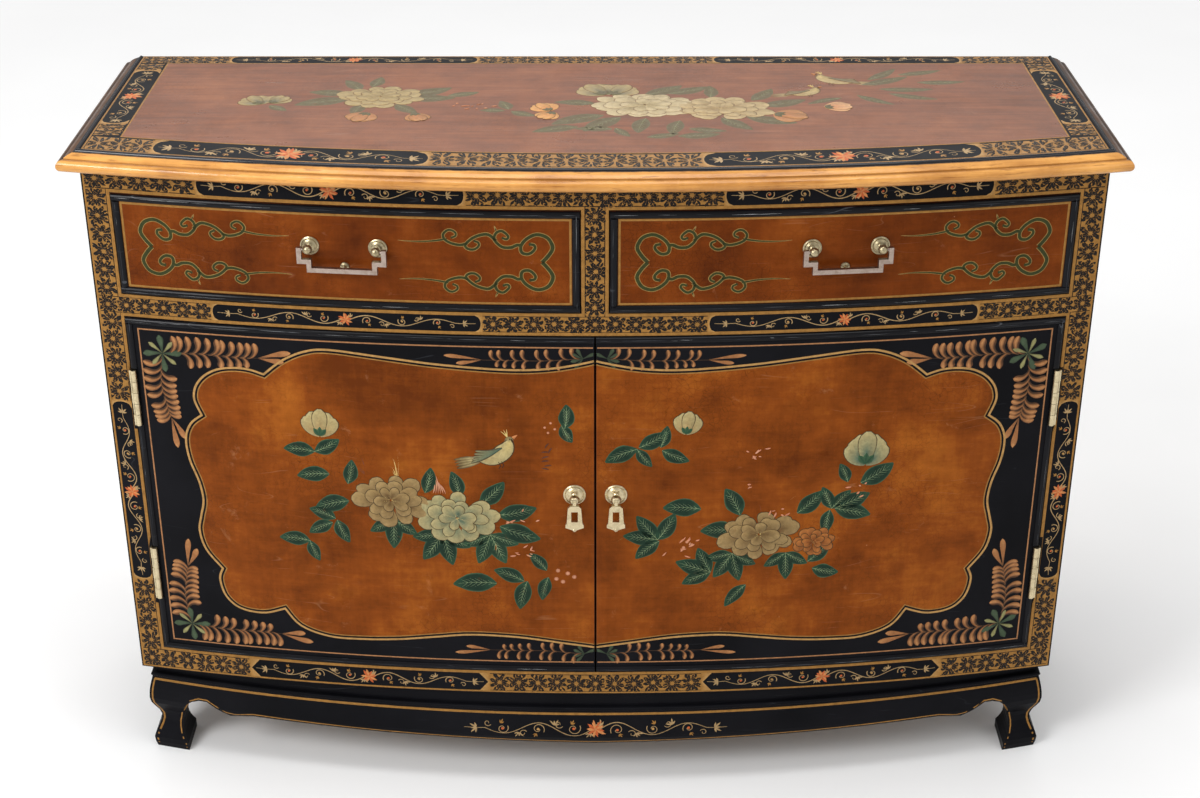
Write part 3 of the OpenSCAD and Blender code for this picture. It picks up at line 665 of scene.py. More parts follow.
def songbird(g, u, v, size, side=1):
    """A plain small songbird that looks up: body, head, wing, tail and legs."""
    tilt = 16
    cos, sin = math.cos(math.radians(tilt)), math.sin(math.radians(tilt))

    def at(du, dv):
        return (u + side * (du * cos - dv * sin) * size, v + (du * sin + dv * cos) * size)

    for k in range(4):
        g.draw("leaves", smooth([at(-0.35, -0.03 - 0.02 * k), at(-0.62, 0.05 - 0.06 * k),
                                 at(-1.0, 0.10 - 0.08 * k)], 4),
               pointed(size * 0.12, 0.3, 0.6), shade(BEIGE, CREAM, BEIGE_DARK), rim=INK_LINE)
    for k in range(3):
        angle = tilt + side * (70 + 22 * k) + (0 if side > 0 else 180)
        g.draw("details", bend(*at(0.42, 0.38), angle, size * 0.2, 12, 3), tail(size * 0.035, 0.3),
               BUTTER, form="ridge")
    g.draw("ink_low", smooth([at(-0.48, 0.0), at(-0.1, -0.10), at(0.28, 0.05), at(0.50, 0.30)], 5),
           pointed(size * 0.47, 0.1, 0.55), INK_LINE)
    g.draw("petals_low", smooth([at(-0.45, 0.0), at(-0.1, -0.10), at(0.28, 0.05), at(0.46, 0.27)], 5),
           pointed(size * 0.42, 0.1, 0.55), shade(BEIGE, CREAM, BUTTER), rim=CREAM)
    g.dab("petals_low", *at(0.44, 0.27), size * 0.15, CREAM, rim=INK_LINE, sides=10)
    g.draw("petals_high", [at(0.55, 0.31), at(0.61, 0.34), at(0.67, 0.36)], tail(size * 0.09, 0.1), ORANGE)
    for k in range(5):
        feather = smooth([at(0.22 - 0.05 * k, 0.12 - 0.02 * k), at(-0.12 - 0.06 * k, 0.10 - 0.035 * k),
                          at(-0.42 - 0.05 * k, 0.20 - 0.07 * k)], 4)
        g.draw("petals_high", feather, pointed(size * 0.11, 0.3, 0.5),
               shade(TEAL, mix(CREAM, TEAL, 0.4)), rim=INK_LINE)
    g.dab("details", *at(0.46, 0.30), size * 0.03, INK, sides=6)
    for du in (0.02, 0.10):
        g.draw("details", [at(du, -0.22), at(du + 0.02, -0.34), at(du - 0.04, -0.40)],
               size * 0.025, INK, form="ridge")


# Comma-stroke sprays of the black spandrels ------------------------------------------------


def spray_arm(paint, line, tick, inner, outer, tails, side):
    """A stem with comma strokes down both sides. side says which side the outer strokes are on."""
    def dab(t, turn, size):
        i = min(int(t * (len(line) - 1)), len(line) - 2)
        a = heading(line[i], line[i + 1])
        curve = bend(*line[i], a + turn * 4, size, turn * 122, 13)
        stroke(paint, curve, comma(tick * 0.31), shade(COPPER_DARK, COPPER_DARK, COPPER_DIM),
               height=0.10, form="band")
        stroke(paint, offset(curve, -turn * tick * 0.035), comma(tick * 0.21),
               shade(COPPER_DARK, COPPER, COPPER, PEACH, PEACH), rim=shade(COPPER_DARK, COPPER_DIM, COPPER),
               base=0.10, height=0.10, form="petal")

    stroke(paint, line, tail(1.4, 0.5), COPPER_DARK, base=0.02)
    for k in range(outer):
        dab(0.04 + 0.84 * k / outer, side, tick * (1.0 - 0.18 * k / outer))
    for k in range(inner):
        dab(0.18 + 0.66 * k / inner, -side, tick * (0.86 - 0.34 * k / inner))
    for angle, size in tails:
        a = heading(line[-3], line[-1])
        stroke(paint, bend(*line[-2], a + side * angle, size, -side * angle * 0.7, 12),
               comma(tick * 0.26), shade(COPPER_DARK, COPPER, COPPER, PEACH), rim=COPPER,
               height=0.16, form="fat")


def spray_heart(paint, u, v, size, start, count=8):
    """The green and cream rosette that a corner spray springs from."""
    for k in range(count):
        a = start + 360 * k / count
        pale = k % 2
        tip = (0.26, 0.24, 0.10) if pale else (0.055, 0.082, 0.045)
        stroke(paint, bend(u, v, a, size * (0.86 if pale else 1.0), 10, 7),
               comma(size * (0.24 if pale else 0.36)), shade((0.018, 0.026, 0.016), tip, tip),
               rim=mix(tip, (0.01, 0.02, 0.01), 0.5), base=0.04, height=0.16, form="fat")


# Materials ---------------------------------------------------------------------------------


class Look:
    """A node material under construction. Fixed values go on the shader's own sockets."""

    def __init__(self, name, **sockets):
        self.material = bpy.data.materials.new(name)
        self.material.use_nodes = True
        self.tree = self.material.node_tree
        self.shader = self.tree.nodes["Principled BSDF"]
        for key, value in sockets.items():
            self.shader.inputs[key.replace("_", " ")].default_value = value
        self.place = self.node("ShaderNodeTexCoord").outputs["Object"]

    def node(self, kind, links=None, **settings):
        made = self.tree.nodes.new(kind)
        for key, value in settings.items():
            setattr(made, key, value)
        for key, value in (links or {}).items():
            self.feed(made.inputs[key], value)
        return made

    def feed(self, socket, value):
        if isinstance(value, bpy.types.NodeSocket):
            self.tree.links.new(value, socket)
        elif isinstance(value, tuple) and socket.type == "RGBA":
            socket.default_value = (*value[:3], 1.0)
        else:
            socket.default_value = value

    def stretched(self, scale, turn=(0, 0, 0)):
        return self.node("ShaderNodeMapping", {"Vector": self.place, "Scale": scale,
                                               "Rotation": turn}).outputs["Vector"]

    def noise(self, scale, detail=4.0, rough=0.55, where=None, warp=0.0):
        return self.node("ShaderNodeTexNoise", {
            "Vector": where or self.place, "Scale": scale, "Detail": detail,
            "Roughness": rough, "Distortion": warp}).outputs["Fac"]

    def cells(self, scale, feature="F1", where=None, output="Distance"):
        return self.node("ShaderNodeTexVoronoi", {"Vector": where or self.place, "Scale": scale},
                         feature=feature).outputs[output]

    def ramp(self, value, *stops):
        made = self.node("ShaderNodeValToRGB", {"Fac": value})
        marks = made.color_ramp.elements
        while len(marks) < len(stops):
            marks.new(0.5)
        for mark, (at, colour) in zip(marks, stops):
            mark.position = at
            mark.color = (*colour, 1.0) if isinstance(colour, tuple) else (colour, colour, colour, 1.0)
        return made.outputs["Color"]

    def mask(self, value, low, high, top=1.0):
        """Nothing up to low, rising to top at high."""
        return self.ramp(value, (low, 0.0), (high, top))

    def patchy(self, scale, detail, low, high):
        """A value that wanders between low and high."""
        return self.ramp(self.noise(scale, detail), (0.3, low), (0.7, high))

    def specks(self, scale, inner, outer, rare, rarer):
        """Small round dots in a few of the cells of a pattern."""
        dots = self.ramp(self.cells(scale), (inner, 1.0), (outer, 0.0))
        return self.times(dots, self.mask(self.cells(scale, output="Color"), rare, rarer))

    def rises(self, value, low, high, *stops):
        """A ramp over a value that goes from low to high."""
        made = self.node("ShaderNodeMapRange", {"Value": value, "From Min": low, "From Max": high})
        return self.ramp(made.outputs["Result"], *stops)

    def times(self, a, b):
        return self.sum("MULTIPLY", a, b)

    def most(self, a, b):
        return self.sum("MAXIMUM", a, b)

    def blend(self, amount, a, b, how="MIX"):
        made = self.node("ShaderNodeMix", data_type="RGBA", blend_type=how)
        self.feed(made.inputs["Factor"], amount)
        self.feed(made.inputs[6], a)
        self.feed(made.inputs[7], b)
        return made.outputs[2]

    def sum(self, how, a, b):
        return self.node("ShaderNodeMath", {0: a, 1: b}, operation=how).outputs[0]

    def scratches(self, scale, turn, width=0.007):
        """Straight hairlines: contours of a long-drawn noise, broken up by a second noise."""
        drawn = self.stretched((scale * 0.016, scale, scale), turn)
        off = self.sum("ABSOLUTE", self.sum("SUBTRACT", self.noise(1.0, 0.0, 0.5, drawn), 0.5), 0.0)
        line = self.ramp(off, (0.0, 1.0), (width, 0.0))
        broken = self.mask(self.noise(16.0, 2.0, 0.5, self.stretched((1, 1, 1), turn)), 0.60, 0.66)
        return self.times(line, broken)

    def bump(self, height, strength, distance, below=None):
        links = {"Height": height, "Strength": strength, "Distance": distance}
        if below is not None:
            links["Normal"] = below
        return self.node("ShaderNodeBump", links).outputs["Normal"]

    def finish(self, colour=None, roughness=None, normal=None, metallic=None):
        for key, value in (("Base Color", colour), ("Roughness", roughness), ("Normal", normal),
                           ("Metallic", metallic)):
            if value is not None:
                self.feed(self.shader.inputs[key], value)
        return self.material


def scaled(colour, part):
    return tuple(c * part for c in colour)


def rust_lacquer(name, dark, middle, light, haze, level=False, coat=0.04, shine=0.14,
                 sheen=(1.0, 0.42, 0.13)):
    """Red-brown lacquer: brushed mottling, fine crackle, scratches and pale specks."""
    look = Look(name, Coat_Weight=coat, Coat_Roughness=0.12, Specular_IOR_Level=shine,
                Specular_Tint=(*sheen, 1.0))

    def turned(angle):
        return (0, 0, angle) if level else (0, angle, 0)

    clouds = look.noise(8.0, 8.0, 0.66, warp=0.2)
    across = look.noise(1.0, 5.0, 0.65, look.stretched((10, 150, 150)))
    upright = look.noise(1.0, 5.0, 0.65, look.stretched((190, 14, 14)))
    long_grain, cross_grain = (0.42, 0.06) if level else (0.15, 0.09)
    brushed = look.sum("ADD", look.times(across, long_grain), look.times(upright, cross_grain))
    tone = look.sum("ADD", look.times(clouds, 1 - long_grain - cross_grain), brushed)
    colour = look.ramp(tone, (0.37, dark), (0.52, middle), (0.68, light))
    blotch = look.mask(look.noise(26.0, 3.0, 0.6), 0.50, 0.74, 0.42)
    colour = look.blend(blotch, colour, scaled(middle, 0.55))
    crackle = look.ramp(look.cells(150.0, "DISTANCE_TO_EDGE"), (0.0, 1.0), (0.045, 0.0))
    cracks = look.times(crackle, look.mask(look.noise(9.0, 3.0), 0.42, 0.62, 0.55))
    colour = look.blend(cracks, colour, scaled(dark, 0.5))
    marks = look.scratches(60, turned(0.15))
    for scale, angle in ((52, 0.9), (66, 1.75), (48, 2.5)):
        marks = look.most(marks, look.scratches(scale, turned(angle), 0.006))
    colour = look.blend(look.times(marks, 0.20), colour, haze)
    smudge = look.mask(look.noise(24.0, 9.0, 0.78, warp=0.4), 0.61, 0.76, 0.42)
    colour = look.blend(smudge, colour, haze)
    colour = look.blend(look.times(look.specks(95.0, 0.05, 0.09, 0.90, 0.93), 0.8), colour, haze)
    rough = look.patchy(14.0, 5.0, 0.26, 0.44)
    wave = look.bump(look.noise(11.0, 2.0), 0.10, 0.004)
    normal = look.bump(look.sum("ADD", cracks, marks), 0.35, 0.0004, wave)
    return look.finish(colour, rough, normal)


def black_lacquer(name, coat, shine, base=(0.0036, 0.0036, 0.0046), worn=(0.040, 0.043, 0.050)):
    """Black lacquer: soft clouding, hairline scratches, dust and rubbed spots."""
    look = Look(name, Coat_Weight=coat, Coat_Roughness=0.11, Specular_IOR_Level=shine)
    cloud = look.ramp(look.noise(8.0, 5.0), (0.35, base), (0.75, scaled(base, 2.1)))
    marks = look.most(look.scratches(46, (0, 0.3, 0.2)), look.scratches(54, (0, 1.3, 0.9), 0.006))
    marks = look.most(marks, look.specks(130.0, 0.03, 0.07, 0.88, 0.92))
    colour = look.blend(look.times(marks, 0.5), cloud, worn)
    rubbed = look.mask(look.noise(19.0, 6.0, 0.7), 0.70, 0.78, 0.5)
    colour = look.blend(rubbed, colour, scaled(worn, 0.6))
    rough = look.patchy(16.0, 5.0, 0.28, 0.46)
    normal = look.bump(marks, 0.3, 0.0003, look.bump(look.noise(13.0, 2.0), 0.10, 0.003))
    return look.finish(colour, rough, normal)


def painted(name, rough, metallic, worn, wear, grain=160.0, painted_reflection=0.0):
    """Hand-laid paint: the stroke's own colour, brush streaks, thin places and rubbed specks."""
    look = Look(name, Coat_Weight=0.03, Coat_Roughness=0.2, Specular_IOR_Level=0.12)
    tint = look.node("ShaderNodeVertexColor", layer_name="Paint").outputs["Color"]
    streak = look.ramp(look.noise(grain, 5.0, 0.65, warp=0.6), (0.28, 0.72), (0.72, 1.18))
    colour = look.blend(1.0, tint, streak, "MULTIPLY")
    # Painted reflection: the colour pulled towards a pale rose-beige, as a sheen would wash it out
    if painted_reflection:
        colour = look.blend(painted_reflection, colour, (0.27, 0.150, 0.085))
    thin = look.mask(look.noise(grain * 0.45, 6.0, 0.7), 0.60, 0.74, wear)
    colour = look.blend(thin, colour, worn)
    roughness = look.patchy(grain * 0.7, 3.0, rough - 0.1, rough + 0.12)
    normal = look.bump(look.noise(grain * 1.4, 4.0, 0.6, warp=0.8), 0.35, 0.0003)
    return look.finish(colour, roughness, normal, metallic or None)


def edge_lacquer(name, top_colour, dark, light, streaks, coat, shine):
    """The moulded edge: streaky stained lacquer below, and a black bead above, with painted shade in the
    crease and under the nose.
    """
    look = Look(name, Coat_Weight=coat, Coat_Roughness=0.09, Specular_IOR_Level=shine)
    grain = look.noise(1.0, 6.0, 0.62, look.stretched((7, 60, 260)), 0.3)
    blotch = look.noise(9.0, 5.0, 0.6)
    tone = look.sum("ADD", look.times(grain, 0.42), look.times(blotch, 0.58))
    colour = look.ramp(tone, (0.36, dark), (0.62, light))
    fleck = look.mask(look.noise(1.0, 3.0, 0.6, look.stretched((30, 30, 420))), 0.60, 0.68, 0.5)
    colour = look.blend(fleck, colour, streaks)
    high = look.node("ShaderNodeSeparateXYZ", {"Vector": look.place}).outputs["Z"]
    ragged = look.sum("ADD", high, look.times(look.noise(90.0, 3.0), 0.0006))
    black = look.rises(ragged, BEAD_Z - 0.0002, BEAD_Z + 0.0004, (0.0, 0.0), (1.0, 1.0))
    # Painted shade: a ragged dark band in the crease between the bevel and the nose
    crease_shade = look.rises(ragged, CREASE_Z - 0.0014, CREASE_Z, (0.0, 0.0), (0.5, 0.65), (1.0, 0.0))
    colour = look.blend(crease_shade, colour, scaled(dark, 0.55))
    # Painted shade: the lowest 4 mm of the nose darkened, as under it
    low = look.rises(ragged, NOSE_LOW_Z, NOSE_LOW_Z + 0.004, (0.0, 0.7), (1.0, 0.0))
    colour = look.blend(low, colour, scaled(dark, 0.6))
    colour = look.blend(black, colour, top_colour)
    rough = look.patchy(20.0, 5.0, 0.22, 0.38)
    normal = look.bump(grain, 0.12, 0.0006, look.bump(look.noise(15.0, 2.0), 0.12, 0.003))
    return look.finish(colour, rough, normal)


def bare_wood(name, dark, light, along, rough=0.62):
    """Unfinished wood: long grain with pores, along one axis."""
    look = Look(name, IOR=1.45)
    scale = [90.0, 90.0, 90.0]
    scale[along] = 5.0
    grain = look.noise(1.0, 6.0, 0.6, look.stretched(tuple(scale)), 0.5)
    wide = look.noise(1.0, 3.0, 0.5, look.stretched(tuple(s * 0.2 for s in scale)))
    tone = look.sum("ADD", look.times(grain, 0.55), look.times(wide, 0.45))
    colour = look.ramp(tone, (0.34, dark), (0.62, light))
    fine = [900.0, 900.0, 900.0]
    fine[along] = 30.0
    pores = look.mask(look.noise(1.0, 2.0, 0.5, look.stretched(tuple(fine))), 0.62, 0.72, 0.6)
    colour = look.blend(pores, colour, scaled(dark, 0.5))
    return look.finish(colour, look.ramp(grain, (0.3, rough - 0.08), (0.7, rough + 0.1)),
                       look.bump(look.sum("SUBTRACT", grain, pores), 0.4, 0.0006))


def metal(name, base, tarnish, rough, dull=0.5):
    """Cast and rubbed metal: tarnish in patches, fine scratches and a soft cast surface."""
    look = Look(name, Metallic=1.0)
    patch = look.mask(look.noise(120.0, 6.0, 0.65), 0.46, 0.70, dull)
    colour = look.blend(patch, base, tarnish)
    fine = look.noise(1.0, 3.0, 0.6, look.stretched((700, 260, 900)))
    colour = look.blend(look.mask(fine, 0.55, 0.75, 0.3), colour, scaled(base, 1.3))
    roughness = look.patchy(200.0, 5.0, rough - 0.08, rough + 0.14)
    normal = look.bump(fine, 0.12, 0.0002, look.bump(look.noise(170.0, 3.0), 0.25, 0.0004))
    return look.finish(colour, roughness, normal)


def pale_floor():
    """Plain pale floor with a very faint mottling. It glows a little beyond the lamps' reach."""
    look = Look("studio_floor", Roughness=0.9, Specular_IOR_Level=0.1,
                Emission_Color=(1.0, 1.0, 1.0, 1.0))
    tone = look.ramp(look.noise(3.0, 2.0), (0.3, 0.86), (0.7, 0.88))
    away = look.node("ShaderNodeVectorMath", {0: look.place}, operation="LENGTH").outputs["Value"]
    glow = look.node("ShaderNodeMapRange", {"Value": away, "From Min": 1.0, "From Max": 5.0,
                                            "To Min": 0.02, "To Max": GLOW_FAR}).outputs["Result"]
    look.feed(look.shader.inputs["Emission Strength"], glow)
    return look.finish(tone)


# The edge's heights, read from the frame
edge_lo, edge_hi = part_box("top_edge_front")
BEAD_Z = edge_hi.z - 0.0026
NOSE_LOW_Z = edge_lo.z
CREASE_Z = NOSE_LOW_Z + 0.0150

RUST_DOOR = rust_lacquer("rust_lacquer_doors", (0.095, 0.020, 0.003), (0.205, 0.048, 0.006),
                         (0.350, 0.104, 0.012), (0.48, 0.24, 0.11))
RUST_DRAWER = rust_lacquer("rust_lacquer_drawers", (0.070, 0.013, 0.0025), (0.145, 0.030, 0.004),
                           (0.245, 0.062, 0.009), (0.42, 0.20, 0.10))
RUST_TOP = rust_lacquer("rust_lacquer_top", (0.105, 0.030, 0.010), (0.185, 0.055, 0.018),
                        (0.260, 0.088, 0.030), (0.34, 0.17, 0.10), True, 0.20, 0.22, (1.0, 0.78, 0.60))
BLACK = black_lacquer("black_lacquer", 0.02, 0.04)
BEAD_BLACK = black_lacquer("black_lacquer_bead", 0.14, 0.05, (0.0034, 0.0034, 0.0044), (0.15, 0.16, 0.18))
HONEY = edge_lacquer("honey_edge", (0.010, 0.010, 0.013), (0.32, 0.118, 0.020), (0.70, 0.340, 0.085),
                     (0.16, 0.050, 0.010), 0.4, 0.16)
DARK_EDGE = edge_lacquer("dark_edge", (0.006, 0.006, 0.008), (0.022, 0.010, 0.005), (0.100, 0.042, 0.015),
                         (0.015, 0.007, 0.004), 0.03, 0.06)
GILT = painted("gilt_paint", 0.40, 0.30, (0.055, 0.032, 0.014), 0.42)
CELL_PAINT = painted("dark_cell_paint", 0.40, 0.0, (0.05, 0.03, 0.012), 0.25)
BRIGHT = painted("coral_paint", 0.45, 0.0, (0.10, 0.03, 0.012), 0.35)
COPPER_PAINT = painted("copper_paint", 0.40, 0.12, (0.03, 0.015, 0.010), 0.35, 210.0)
FLOWER_PAINT = painted("flower_paint", 0.46, 0.0, (0.16, 0.055, 0.016), 0.30, 190.0)
# Flower paint of the top, paled by a painted reflection of its sheen
REFLECTION_PALED_FLOWERS = painted("reflection_paled_flower_paint", 0.46, 0.0, (0.22, 0.085, 0.035), 0.36, 190.0, 0.36)
# Paint of the pale bead-crest streaks: partly wear, partly painted highlight
WEAR_AND_HIGHLIGHT_PAINT = painted("crest_wear_and_highlight", 0.35, 0.0, (0.012, 0.012, 0.014), 0.6)
GREEN_PAINT = painted("green_paint", 0.44, 0.0, (0.05, 0.022, 0.006), 0.30)
PINE = bare_wood("plain_wood_across", (0.30, 0.155, 0.060), (0.52, 0.320, 0.150), 0)
PINE_LONG = bare_wood("plain_wood_along", (0.30, 0.155, 0.060), (0.52, 0.320, 0.150), 1)
BEECH = bare_wood("hard_wood", (0.26, 0.125, 0.050), (0.42, 0.235, 0.110), 1, 0.5)
BRASS = metal("pale_brass", (0.62, 0.52, 0.33), (0.26, 0.20, 0.10), 0.30)
STEEL = metal("steel", (0.55, 0.55, 0.56), (0.28, 0.25, 0.22), 0.34)
NICKEL = metal("aged_nickel", (0.40, 0.32, 0.27), (0.19, 0.125, 0.09), 0.36, 0.6)
OLD_BRASS = metal("aged_brass", (0.44, 0.37, 0.23), (0.17, 0.125, 0.06), 0.34, 0.6)

SLOT_LOOKS = {
    "black_lacquer": BLACK, "rust_lacquer": RUST_DRAWER, "honey_edge": HONEY, "dark_edge": DARK_EDGE,
    "plain_wood": PINE, "hard_wood": BEECH, "pale_brass": BRASS, "steel": STEEL, "aged_nickel": NICKEL,
}
OWN_LOOKS = {
    "door_left_panel": BLACK, "door_right_panel": BLACK, "top_panel": BLACK,
    "door_left_pull": BRASS, "door_right_pull": BRASS,
    "door_left_pull_post": BRASS, "door_right_pull_post": BRASS,
    "drawer_left_bail_posts": OLD_BRASS, "drawer_right_bail_posts": OLD_BRASS,
    "drawer_left_sides": PINE_LONG, "drawer_right_sides": PINE_LONG,
}
for entry in frame["record"]["subparts"]:
    name = entry["node"]
    NODES[name].data.materials.clear()
    look = BEAD_BLACK if name.endswith("bead") else SLOT_LOOKS[entry["material_slot"]]
    NODES[name].data.materials.append(OWN_LOOKS.get(name, look))

# The frame's sizes, in millimetres ---------------------------------------------------------


def span(name):
    lo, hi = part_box(name)
    return [(lo[k] / MM, hi[k] / MM) for k in range(3)]


FRAME_NODES = ["stile_left", "stile_right", "rail_top", "rail_middle", "rail_bottom", "muntin"]
(_, stile_out), _, (case_z0, case_z1) = span("stile_right")
stile_in = span("stile_right")[0][0]
mid_z0, mid_z1 = span("rail_middle")[2]
low_z1 = span("rail_bottom")[2][1]
top_z0 = span("rail_top")[2][0]
muntin_out = span("muntin")[0][1]


def run(centre, upright=False):
    """Places along a level strip centred on a height, or along an upright one centred on a u."""
    if upright:
        return lambda s, t: (centre + t, s)
    return lambda s, t: (s, centre + t)


class Bands:
    """The paints of one set of borders: gilding, black cells, vines and coral blossoms."""

    def __init__(self, name, canvas, rng):
        self.rng = rng
        self.gold = Paint(f"{name}_gilding", canvas, "case", GILT)
        self.cells = Paint(f"{name}_cells", canvas, "case", CELL_PAINT, "black_lacquer")
        self.vines = Paint(f"{name}_scrolls", canvas, "case", GILT)
        self.bright = Paint(f"{name}_blossoms", canvas, "case", BRIGHT)

    def border(self, place, cuts, width, pointed_ends=False, waves=3, pitch=24.0):
        """Star-flower ground and black scroll panels in turn along a strip, changing at the cuts."""
        for i, (s0, s1) in enumerate(zip(cuts, cuts[1:])):
            if i % 2:
                scroll(self.vines, self.bright, place, (s0 + s1) / 2, (s1 - s0) / 2, width,
                       self.rng, waves)
                end_cap(self.gold, place, s0, 1, width, pointed_ends)
                end_cap(self.gold, place, s1, -1, width, pointed_ends)
            else:
                diaper(self.gold, self.cells, place, s0, s1, width, self.rng, pitch)

    def build(self):
        for paint in (self.gold, self.cells, self.vines, self.bright):
            paint.build()


def front_frame():
    bands = Bands("front_frame", Canvas(FRAME_NODES, "front"), random.Random(11))
    edge_u = stile_out - 0.8
    outer_u = edge_u - LINE / 2
    for u0, u1, v0, v1 in ((-stile_in, -muntin_out, mid_z1, top_z0), (muntin_out, stile_in, mid_z1, top_z0),
                           (-stile_in, stile_in, low_z1, mid_z0)):
        out = LINE / 2 + 0.1
        gold_line(bands.gold, rectangle(u0 - out, u1 + out, v0 - out, v1 + out), LINE, closed=True)
    for side in (-1, 1):
        gold_line(bands.gold, [(side * outer_u, case_z0 + 1.5), (side * outer_u, case_z1 - 1)], 2.6)
    gold_line(bands.gold, [(-outer_u, case_z0 + 2.4), (outer_u, case_z0 + 2.4)], 2.6)
    gold_line(bands.gold, [(-outer_u, case_z1 - 2.4), (outer_u, case_z1 - 2.4)], 2.4)

    pad = LINE - 0.4
    strips = (
        ((top_z0 + pad, case_z1 - 1.5), (-outer_u, -455, -145, 145, 455, outer_u), False),
        ((mid_z0 + pad, mid_z1 - pad), (-outer_u, -450, -130, 130, 450, outer_u), False),
        ((case_z0 + 3, low_z1 - pad), (-outer_u, -444, -134, 134, 444, outer_u), True),
    )
    for (v0, v1), cuts, is_pointed in strips:
        bands.border(run((v0 + v1) / 2), cuts, v1 - v0, is_pointed)
    inner_u, far_u = stile_in + pad, edge_u - 2.2
    between_drawers = (mid_z1 - pad, top_z0 + pad)
    for side in (-1, 1):
        stile = run(side * (inner_u + far_u) / 2, True)
        bands.border(stile, (low_z1 - pad, 272, 528, mid_z0 + pad), far_u - inner_u)
        bands.border(stile, between_drawers, far_u - inner_u)
    bands.border(run(0, True), between_drawers, (muntin_out - LINE) * 2)
    bands.build()


# Doors -------------------------------------------------------------------------------------

# Half of the framed field, at the right-hand door: waves and lobes that meet in points
FIELD_PARTS = (
    [(0, 609), (37, 601), (73, 597), (117, 597), (189, 602), (252, 609), (313, 615), (342, 611),
     (369, 598), (393, 578)],
    [(393, 578), (410, 583), (428, 584), (447, 581), (463, 573), (474, 562), (480, 550), (481, 536),
     (474, 517)],
    [(474, 517), (489, 504), (497, 483), (495, 454), (486, 424), (483, 398), (488, 375), (492, 354),
     (486, 327), (467, 301)],
    [(467, 301), (472, 286), (468, 264), (458, 250), (446, 243), (430, 240), (413, 241), (391, 249)],
    [(391, 249), (372, 225), (336, 212), (292, 211), (246, 214), (200, 220), (155, 225), (97, 223),
     (40, 215), (0, 209)],
)


def field_outline():
    line = []
    for part in FIELD_PARTS:
        line += smooth(part, 5)[: None if part is FIELD_PARTS[-1] else -1]
    return line


def clip_line(line, u_min):
    """The part of the line beyond u_min, with its two ends cut on u_min."""
    kept = [p for p in line if p[0] > u_min + 0.5]
    return [(u_min, line[0][1])] + kept + [(u_min, line[-1][1])]


def flip(points, side):
    """The points as they are on the right, or mirrored on the left."""
    return [(side * u, v) for u, v in points]


def door_frame(side, canvas, body, name):
    """The black surround's field, its gold outline, the copper line and the comma sprays."""
    (lo_u, hi_u), _, (z0, z1) = span(f"{name}_panel")
    lo_u, hi_u = sorted((abs(lo_u), abs(hi_u)))
    outline = field_outline()
    inner = clip_line(offset(outline, -4.6), lo_u + 0.4)
    coat = Paint(f"{name}_field", canvas, body, RUST_DOOR, "rust_lacquer")
    field(coat, flip(inner, side), UNDERCOAT)
    coat.build()

    gold = Paint(f"{name}_gold_lines", canvas, body, GILT)
    stroke(gold, flip(clip_line(outline, lo_u + 0.4), side), 2.9, GOLD_PALE, rim=GOLD, height=0.2,
           form="band")
    stroke(gold, flip(inner, side), 1.7, GOLD, rim=GOLD_DIM, base=0.1, height=0.12, form="band")
    bead = 8 + 6.0  # the bead's width, and the black beside it
    trim = [(lo_u + 1.5, z1 - bead), (hi_u - bead, z1 - bead), (hi_u - bead, z0 + bead),
            (lo_u + 1.5, z0 + bead)]
    gold_line(gold, flip(trim, side), 1.9, tint=TRIM)
    gold.build()

    spray = Paint(f"{name}_comma_strokes", canvas, body, COPPER_PAINT)
    for u, v, up in ((515, 596, 1), (515, 213, -1)):
        along = [(u - 4, v), (u - 45, v + up * 3), (u - 90, v + up * 2), (u - 120, v + up * 3)]
        down = [(u + 1, v - up * 4), (u + 5, v - up * 40), (u, v - up * 72), (u - 3, v - up * 88)]
        for line, inward, outward, tails, turn in (
            (along, 7, 11, ((16, 40), (-14, 30)), -up),
            (down, 8, 9, ((8, 40), (-26, 30)), up),
        ):
            spray_arm(spray, flip(smooth(line, 8), side), 30, inward, outward, tails, turn * side)
        spray_heart(spray, side * u, v, 24, 20 if side > 0 else 0)
    for v, up, dip in ((612, 1, -3), (199, -1, 4)):
        line = smooth([(18, v), (60, v + dip), (105, v + dip), (135, v + dip)], 8)
        spray_arm(spray, flip(line, side), 20, 7, 8, ((10, 44), (-14, 30)), side * up)
        for k, a in enumerate((20, -20, 55, -55, 150)):
            stroke(spray, flip(bend(14, v, a, 15, 10, 6), side), comma(5.2),
                   shade((0.02, 0.03, 0.02), (0.06, 0.09, 0.05)), rim=(0.03, 0.04, 0.02),
                   base=0.04 * (k % 2), height=0.16, form="petal")
    spray.build()


